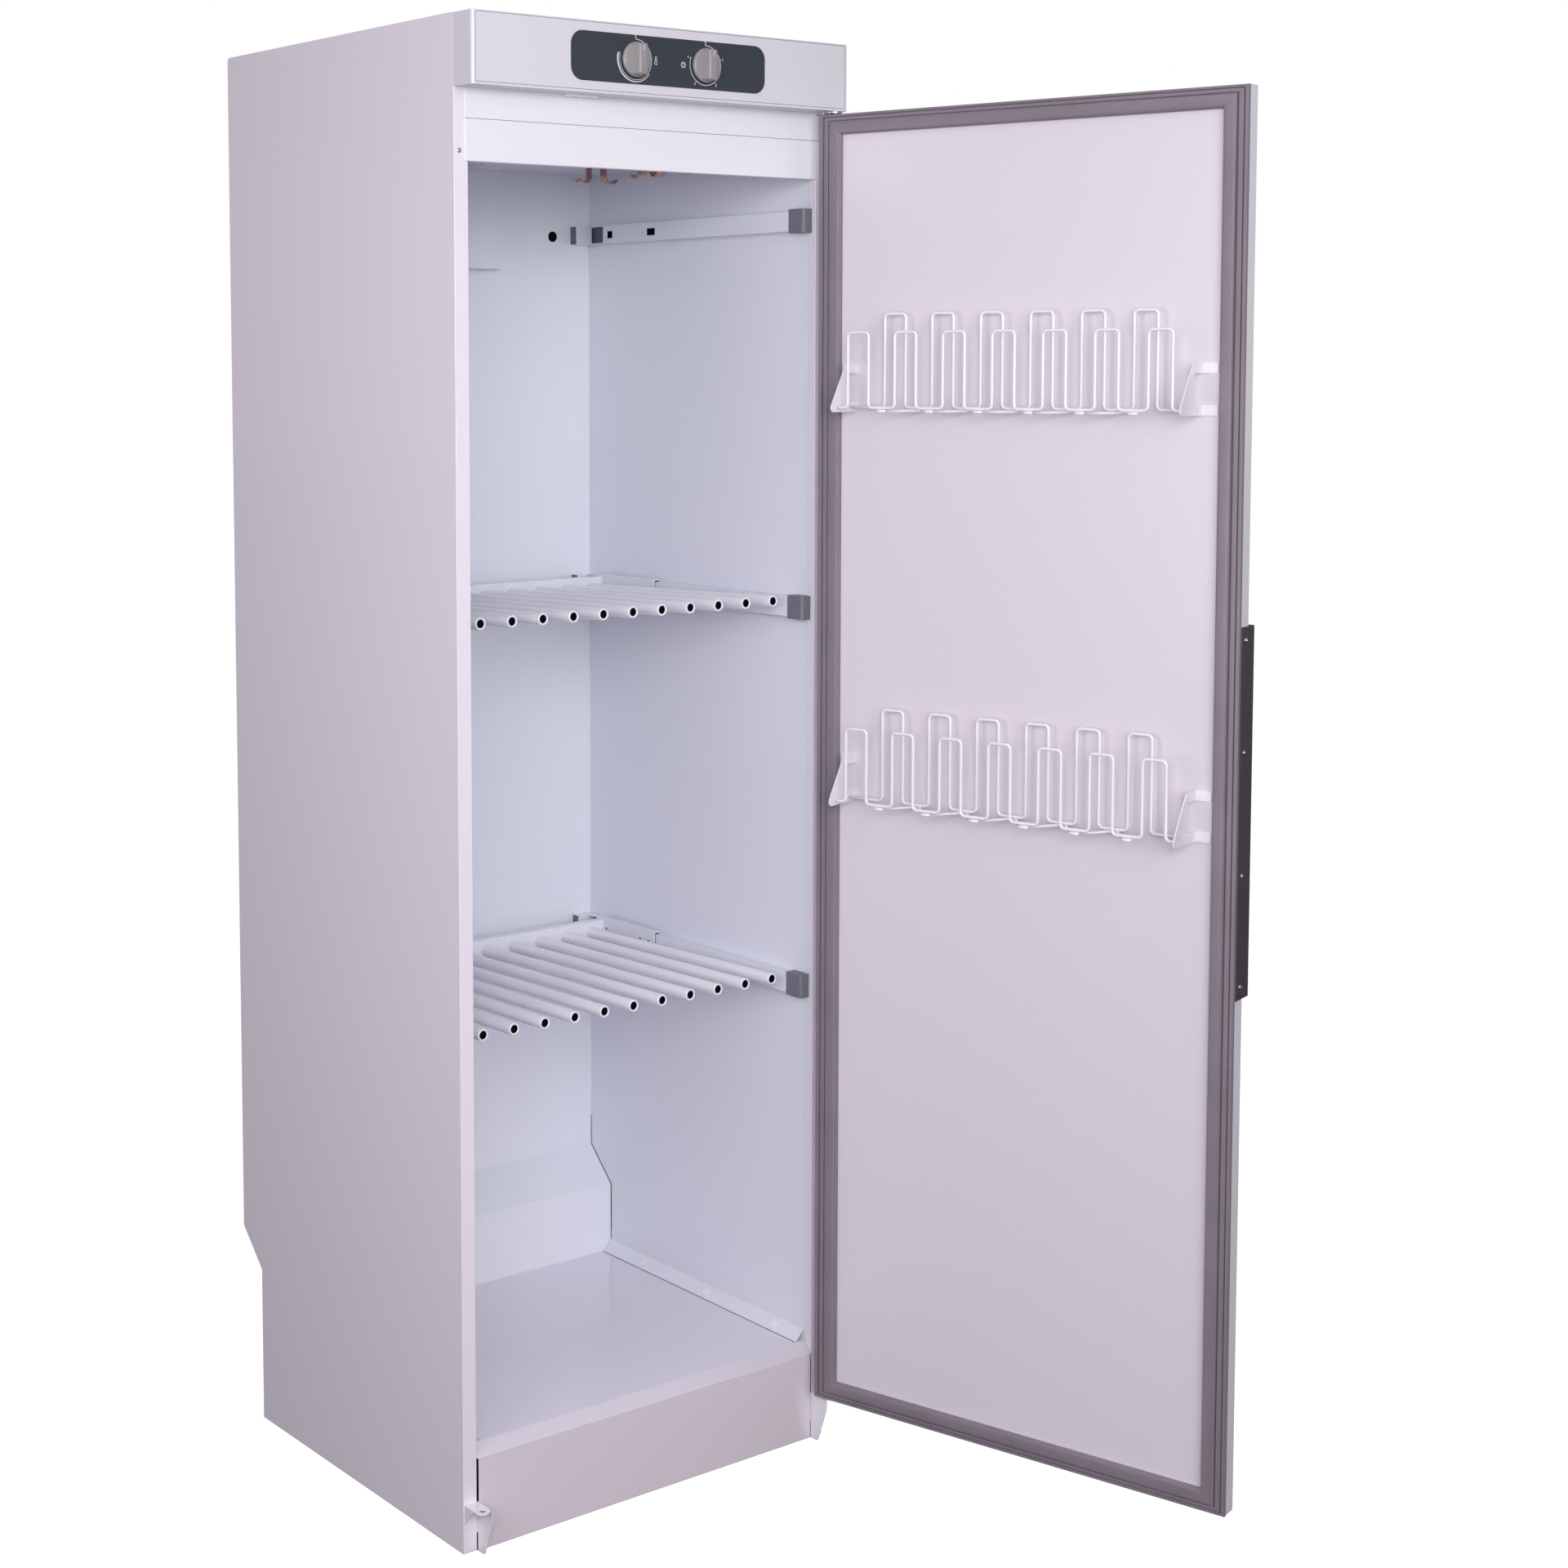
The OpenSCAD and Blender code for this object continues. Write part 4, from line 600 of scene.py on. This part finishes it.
# ------------------------------------------------------------------ handle and screws
def bent_sheet(points, thickness, radius):
    """Outline of a folded sheet: its outer line with rounded corners, and the inner one."""
    steps = 8
    outer, inner = [points[0]], []
    n = len(points)
    first = (Vector(points[1]) - Vector(points[0])).normalized()
    left = Vector((-first.y, first.x))
    inner.append(tuple(Vector(points[0]) + left * thickness))
    for i in range(1, n - 1):
        p, a, b = Vector(points[i]), Vector(points[i - 1]), Vector(points[i + 1])
        u, v = (a - p).normalized(), (b - p).normalized()
        turn = u.angle(v)
        back = radius / math.tan(turn / 2)
        centre = p + (u + v).normalized() * (radius / math.sin(turn / 2))
        s, e = p + u * back - centre, p + v * back - centre
        a0 = math.atan2(s.y, s.x)
        sweep = (math.atan2(e.y, e.x) - a0 + math.pi) % (2 * math.pi) - math.pi
        for k in range(steps + 1):
            ang = a0 + sweep * k / steps
            d = Vector((math.cos(ang), math.sin(ang)))
            outer.append(tuple(centre + d * radius))
            inner.append(tuple(centre + d * (radius - thickness)))
    last = (Vector(points[-1]) - Vector(points[-2])).normalized()
    left = Vector((-last.y, last.x))
    outer.append(points[-1])
    inner.append(tuple(Vector(points[-1]) + left * thickness))
    return outer + inner[::-1]


HANDLE_X = -298.0
HANDLE_END_ZS = (712.0, 1166.0)
HANDLE_SCREW_ZS = (728.0, 864.0, 1014.0, 1150.0)
HANDLE_SCREW_Y = -21.3


def handle():
    """Sheet screwed to the door's free edge, folded twice at the door's outside."""
    fold_x, fold_y = HANDLE_X + 24.0, -50.0
    line = [(HANDLE_X, -10.5), (HANDLE_X, fold_y), (fold_x, fold_y), (fold_x, fold_y + 6.0)]
    bm = extrude_outline(bent_sheet(line, 2.0, 4.5), *HANDLE_END_ZS, "xy")
    build("door_handle_look", bm, "door", HANDLE, DOOR, ("door_handle",), 0.5)


handle()


def screw(r, height):
    """Pan head with a cross recess."""
    bm = bmesh.new()
    steps, recess = 32, 0.9
    dome = [(r, 0.0), (r, height * 0.45), (r * 0.92, height * 0.75), (r * 0.78, height * 0.93),
            (r * 0.62, height)]
    rings = [[bm.verts.new((rr * math.cos(2 * math.pi * i / steps),
                            rr * math.sin(2 * math.pi * i / steps), h)) for i in range(steps)]
             for rr, h in dome]
    for a, b in zip(rings, rings[1:]):
        for i in range(steps):
            j = (i + 1) % steps
            bm.faces.new((a[i], a[j], b[j], b[i]))
    bm.faces.new(list(reversed(rings[0])))
    arm, half = r * 0.52, r * 0.13
    cross = [(arm, half), (half, half), (half, arm), (-half, arm), (-half, half),
             (-arm, half), (-arm, -half), (-half, -half), (-half, -arm), (half, -arm),
             (half, -half), (arm, -half)]
    top = [bm.verts.new((x, y, height)) for x, y in cross]
    deep = [bm.verts.new((x * 0.8, y * 0.8, height - recess)) for x, y in cross]
    edges = [e for e in bm.edges if all(v in rings[-1] for v in e.verts)]
    edges += [bm.edges.new((top[i], top[(i + 1) % 12])) for i in range(12)]
    bmesh.ops.triangle_fill(bm, edges=edges, use_beauty=True, use_dissolve=False)
    for i in range(12):
        j = (i + 1) % 12
        bm.faces.new((top[i], top[j], deep[j], deep[i]))
    bm.faces.new(deep)
    return bm


def screws(name, body, matrix, places, node, r, height):
    """The heads of a node's screws, each at a place and facing a direction."""
    bm = bmesh.new()
    for origin, out in places:
        merge(bm, screw(r, height), facing(origin, out))
    build(name, bm, body, ZINC, matrix, (node,))


screws("handle_screws_look", "door", DOOR,
       [((HANDLE_X, HANDLE_SCREW_Y, z), (-1, 0, 0)) for z in HANDLE_SCREW_ZS],
       "handle_screws", 3.2, 1.6)
screws("case_screws_look", "cabinet", CASE,
       [((s * STILE_SCREW[0], 0.0, STILE_SCREW[1]), (0, -1, 0)) for s in (-1, 1)]
       + [((PIN.x + x, y, HEAD_PLATE_Z), (0, 0, -1)) for x, y in ((0, -6), (-8, -14))],
       "case_screws", 3.0, 1.0)


# ------------------------------------------------------------------ ceiling hooks and tab
HOOKS = ((139.0, 302.0, -3.0), (130.0, 173.0, -92.0))     # x, y and turn


def hooks():
    """Double hooks bent from strip, each arm curling up and slightly out at its tip."""
    bm = bmesh.new()
    curl_x, curl_z, curl_r, curl_turn = 22.0, -18.0, 9.8, 155.0
    for hx, hy, angle in HOOKS:
        place = (Matrix.Translation((hx, hy, CEILING_Z))
                 @ Matrix.Rotation(math.radians(angle), 4, "Z"))
        for s in (-1, 1):
            path, normals = [], []
            for x, z, nx, nz in ((2.0, -0.8, 0, -1), (7.5, -0.8, 0, -1), (10.7, -1.2, 0.5, -0.85),
                                 (11.9, -3.0, 1, -0.1), (12.1, -8.0, 1, 0), (12.2, curl_z, 1, 0)):
                path.append(Vector((s * x, 0, z)))
                normals.append(Vector((s * nx, 0, nz)).normalized())
            for k in range(1, 17):
                a = math.radians(180 + curl_turn * k / 16)
                path.append(Vector((s * (curl_x + curl_r * math.cos(a)), 0,
                                    curl_z + curl_r * math.sin(a))))
                normals.append(Vector((-s * math.cos(a), 0, -math.sin(a))))
            merge(bm, ribbon(path, Vector((0, 1, 0)), 7.25, 1.5, normals), place)
    build("ceiling_hooks_look", bm, "cabinet", HOOK, CASE, ("ceiling_hooks",),
          0.35)


hooks()


def contact_tab():
    """Small white tab under the fascia."""
    outline = [(-140.0, -12.0), (-118.0, -14.5), (-92.0, -13.0), (-92.0, -1.5), (-136.0, -1.5)]
    bm = extrude_outline(outline, 1809.2, FASCIA_ZS[0], "xy")
    build("door_contact_look", bm, "cabinet", WHITE_PLASTIC, CASE,
          ("door_contact",), 0.5)


contact_tab()


# ------------------------------------------------------------------ painted shade in hollows, joints and corners, and the dark sensor
def cell(bm, low, high, mirrored=True):
    """Adds a box, and its mirror image on the case's other side."""
    for s in (-1, 1) if mirrored else (1,):
        x0, x1 = sorted((s * low[0], s * high[0]))
        merge(bm, extrude_outline([(x0, low[1]), (x1, low[1]), (x1, high[1]), (x0, high[1])],
                                  low[2], high[2], "xy"))


def hanger_hollows(level, z):
    """Painted shade: dark cups in the tubes' bores and dark sheets in the carriages' mouths and
    holes.
    """
    bm = bmesh.new()
    tilt = Matrix.Rotation(math.radians(90 - TUBE_TILT), 4, "X")
    # painted shade: a black cup lining each tube's bore from near its tip
    cup = [(0, 380.0), (5.28, 380.0), (5.28, 414.6), (5.1, 414.6), (5.1, 409.0), (0, 409.0)]
    for i in range(TUBES):
        origin = Vector(((i - (TUBES - 1) / 2) * TUBE_PITCH, CROSSBAR_Y, z - TUBE_DROP))
        merge(bm, lathe(cup, 32), Matrix.Translation(origin) @ tilt)
    # painted shade in the mouth between a carriage and its rail: beside, above and below the rail
    y0, y1 = CARRIAGE_Y + 0.8, CARRIAGE_Y + 1.2
    web_x, lip_x = CARRIAGE_X + 2.8, CARRIAGE_X + 9.8
    cell(bm, (CARRIAGE_X + 1.6, y0, z - 15.2), (web_x, y1, z + 15.2))
    cell(bm, (web_x, y0, z + 13.6), (lip_x, y1, z + 15.2))
    cell(bm, (web_x, y0, z - 15.2), (lip_x, y1, z - 13.6))
    # painted shade in the carriages' holes
    for s in (-1, 1):
        for hole in (14.0, 34.0, 117.0):
            merge(bm, lathe([(0, 0), (1.95, 0), (1.95, 0.9), (0, 0.9)], 24),
                  facing((s * (CARRIAGE_X + 1.4), CARRIAGE_Y + hole, z + 1.0), (-s, 0, 0)))
    build(level + "_hanger_hollows", bm, level + "_hanger", SHADE_AND_SENSOR_BLACK)


hanger_hollows("middle", RAIL_ZS[1])
hanger_hollows("lower", RAIL_ZS[0])


def case_hollows():
    """Painted shade behind the rails' slots, in the joints and corners between the sheets and in
    the slits; and the sensor's own dark face in its hole.
    """
    bm = bmesh.new()
    slot_x = RAIL_X + 1.7
    # painted shade behind the rails' slots
    for z in RAIL_ZS:
        cell(bm, (slot_x, 328.3, z - 6.6), (slot_x + 0.4, 349.8, z + 5.5))
    # the sensor's own dark face, in its hole in the back wall
    merge(bm, lathe([(0, 0), (7.8, 0), (7.8, 0.3), (0, 0.3)], 40),
          facing((212.0, LINER_Y + 0.8, 1669.0), (0, -1, 0)))
    # painted shade in the joint over the cover panel, and at the right ends of the header band and
    # of the cover
    low, high = COVER_ZS
    end_x = 281.5
    cell(bm, (0.0, -1.02, high), (end_x, -0.4, high + 0.5))
    cell(bm, (end_x, -0.3, high + 0.5), (end_x + 0.6, -0.02, HEAD_PLATE_Z - 0.6), False)
    cell(bm, (end_x + 0.5, -0.3, low), (end_x + 1.1, -0.02, high), False)
    # painted shade in the corners between the back wall and the side walls: above its fold, below
    # it and along it
    x0, x1 = LINER_X - 0.9, LINER_X - 0.1
    y0, y1 = LINER_Y - 0.8, LINER_Y - 0.1
    low_y0, low_y1 = LINER_LOW_Y - 0.8, LINER_LOW_Y - 0.1
    cell(bm, (x0 + 0.1, y0 + 0.3, FOLD_ZS[1] + 1), (x1, y1, 330.0))
    cell(bm, (x0, low_y0, 150.0), (x1, low_y1, FOLD_ZS[0] - 0.2))
    for s in (-1, 1):
        merge(bm, extrude_outline([(low_y0, FOLD_ZS[0]), (low_y1, FOLD_ZS[0]), (y1, FOLD_ZS[1]),
                                   (y0, FOLD_ZS[1])], *sorted((s * x0, s * x1)), "yz"))
    # painted shade along the skirtings, and in the slits beside the kick face
    cell(bm, (262.3, 16.5, FLOOR_Z + 0.05), (263.0, 457.9, FLOOR_Z + 0.45))
    cell(bm, (275.6, -1.0, 0.5), (277.4, -0.6, 119.0))
    build("case_hollows", bm, "cabinet", SHADE_AND_SENSOR_BLACK)


case_hollows()


def shaded_sheets():
    """Painted shade: dark sheets in the rails' corners, which lie in deep shade, and in the groove
    round the fascia's front.
    """
    bm = bmesh.new()
    wall_x = LINER_X - 0.6
    back_y = LINER_Y - 0.2
    slot_x = RAIL_X + 1.7
    for z in RAIL_ZS:
        # painted shade in each rail's corner pocket, the end of its run on the back wall and its
        # short hole
        cell(bm, (wall_x - 0.4, 454.5, z - 11.7), (wall_x, LINER_Y - 0.7, z + 11.7))
        cell(bm, (273.4, back_y - 0.4, z - 11.7), (wall_x, back_y, z + 11.7))
        cell(bm, (244.55, 495.4, z - 12.9), (244.9, back_y, z + 12.9))
        cell(bm, (slot_x, 429.5, z - 6.6), (slot_x + 0.4, 444.5, z + 5.5))
    # painted shade in the groove round the fascia's front
    y0, y1 = FASCIA_Y + 0.1, FASCIA_Y + 0.4
    low, high = FASCIA_ZS[0] + 3.0, FASCIA_ZS[1] - 1.6
    cell(bm, (291.9, y0, low), (292.5, y1, high))
    for z in (low, high - 0.6):
        cell(bm, (-292.0, y0, z), (292.0, y1, z + 0.6), False)
    build("painted_shade_sheets", bm, "cabinet", SHADE)


shaded_sheets()


# ------------------------------------------------------------------ stage
FLOOR_GLOW = 0.75
FLOOR_FOR_LIGHT = (0.08, 0.08, 0.083, 1)
FLOOR_FOR_CAMERA = (0.80, 0.80, 0.81, 1)


def stage():
    """White floor that glows for the camera only, so that it stays white and keeps shadows."""
    bm = bmesh.new()
    size = 30.0
    corners = ((-size, -size, 0), (size, -size, 0), (size, size, 0), (-size, size, 0))
    bm.faces.new([bm.verts.new(p) for p in corners])
    mesh = bpy.data.meshes.new("floor")
    bm.to_mesh(mesh)
    bm.free()
    floor = bpy.data.objects.new("floor", mesh)
    bpy.context.scene.collection.objects.link(floor)
    mat = bpy.data.materials.new("floor")
    mat.use_nodes = True
    tree = mat.node_tree
    shader = tree.nodes["Principled BSDF"]
    shader.inputs["Roughness"].default_value = 0.9
    shader.inputs["Specular IOR Level"].default_value = 0.0
    shader.inputs["Emission Color"].default_value = (1, 1, 1, 1)
    path = tree.nodes.new("ShaderNodeLightPath")
    strength = tree.nodes.new("ShaderNodeMath")
    strength.operation = "MULTIPLY"
    strength.inputs[1].default_value = FLOOR_GLOW
    tree.links.new(path.outputs["Is Camera Ray"], strength.inputs[0])
    tone = tree.nodes.new("ShaderNodeMix")
    tone.data_type = "RGBA"
    # a Mix node's two colours are its inputs 6 and 7
    tone.inputs[6].default_value = FLOOR_FOR_LIGHT
    tone.inputs[7].default_value = FLOOR_FOR_CAMERA
    tree.links.new(path.outputs["Is Camera Ray"], tone.inputs[0])
    tree.links.new(tone.outputs[2], shader.inputs["Base Color"])
    tree.links.new(strength.outputs[0], shader.inputs["Emission Strength"])
    mesh.materials.append(mat)


stage()


def area_light(name, place, target, size, power, color=(1, 1, 1)):
    """A rectangular light in metres and watts that faces its target."""
    data = bpy.data.lights.new(name, "AREA")
    data.shape = "RECTANGLE"
    data.size, data.size_y = size
    data.energy = power
    data.color = color
    light = bpy.data.objects.new(name, data)
    light.location = place
    light.rotation_euler = (Vector(target) - Vector(place)).to_track_quat("-Z", "Y").to_euler()
    bpy.context.scene.collection.objects.link(light)


area_light("key", (-1.3, -3.7, 1.75), (0.1, -0.2, 1.25), (2.4, 1.6), 50.0)
area_light("top", (-0.9, -3.9, 2.9), (0.1, -0.2, 1.2), (2.6, 1.8), 22.0)
area_light("camera_side", (-2.3, -3.2, 1.9), (0.1, -0.2, 1.3), (1.2, 1.2), 40.0)
area_light("left", (-2.2, -1.0, 1.4), (-0.3, -0.1, 1.3), (1.2, 1.2), 16.0, (1.0, 0.97, 1.0))

world = bpy.data.worlds.new("studio")
bpy.context.scene.world = world
world.use_nodes = True
wt = world.node_tree
background = wt.nodes["Background"]
background.inputs["Color"].default_value = (0.93, 0.92, 1.0, 1)
background.inputs["Strength"].default_value = 0.39
white = wt.nodes.new("ShaderNodeBackground")
white.inputs["Color"].default_value = (1, 1, 1, 1)
white.inputs["Strength"].default_value = 1.0
mix = wt.nodes.new("ShaderNodeMixShader")
rays = wt.nodes.new("ShaderNodeLightPath")
wt.links.new(rays.outputs["Is Camera Ray"], mix.inputs[0])
wt.links.new(background.outputs[0], mix.inputs[1])
wt.links.new(white.outputs[0], mix.inputs[2])
wt.links.new(mix.outputs[0], wt.nodes["World Output"].inputs["Surface"])

# ------------------------------------------------------------------ camera
# Solved from the photograph: place, direction, and lens and image centre in its 1920 pixels.
CAMERA = (-1.954709, -2.794195, 1.485034)
SENSOR = 36.0          # mm
AZ, EL, ROLL = math.radians(36.330), math.radians(-4.517), math.radians(-0.178)
FOCAL, FRAME_PX, CENTRE_PX = 3055.454, 1920.0, (715.407, 683.807)
forward = Vector((math.sin(AZ) * math.cos(EL), math.cos(AZ) * math.cos(EL), math.sin(EL)))
right0 = Vector((math.cos(AZ), -math.sin(AZ), 0))
up0 = right0.cross(forward)
right = right0 * math.cos(ROLL) + up0 * math.sin(ROLL)
up = up0 * math.cos(ROLL) - right0 * math.sin(ROLL)
camera_data = bpy.data.cameras.new("camera")
camera_data.sensor_width = SENSOR
camera_data.lens = SENSOR * FOCAL / FRAME_PX
camera_data.shift_x = 0.5 - CENTRE_PX[0] / FRAME_PX
camera_data.shift_y = CENTRE_PX[1] / FRAME_PX - 0.5
camera_data.clip_start = 0.05
camera = bpy.data.objects.new("camera", camera_data)
basis = Matrix((right, up, -forward)).transposed().to_4x4()
camera.matrix_world = Matrix.Translation(CAMERA) @ basis
bpy.context.scene.collection.objects.link(camera)
bpy.context.scene.camera = camera
bpy.context.scene.view_settings.view_transform = "Standard"
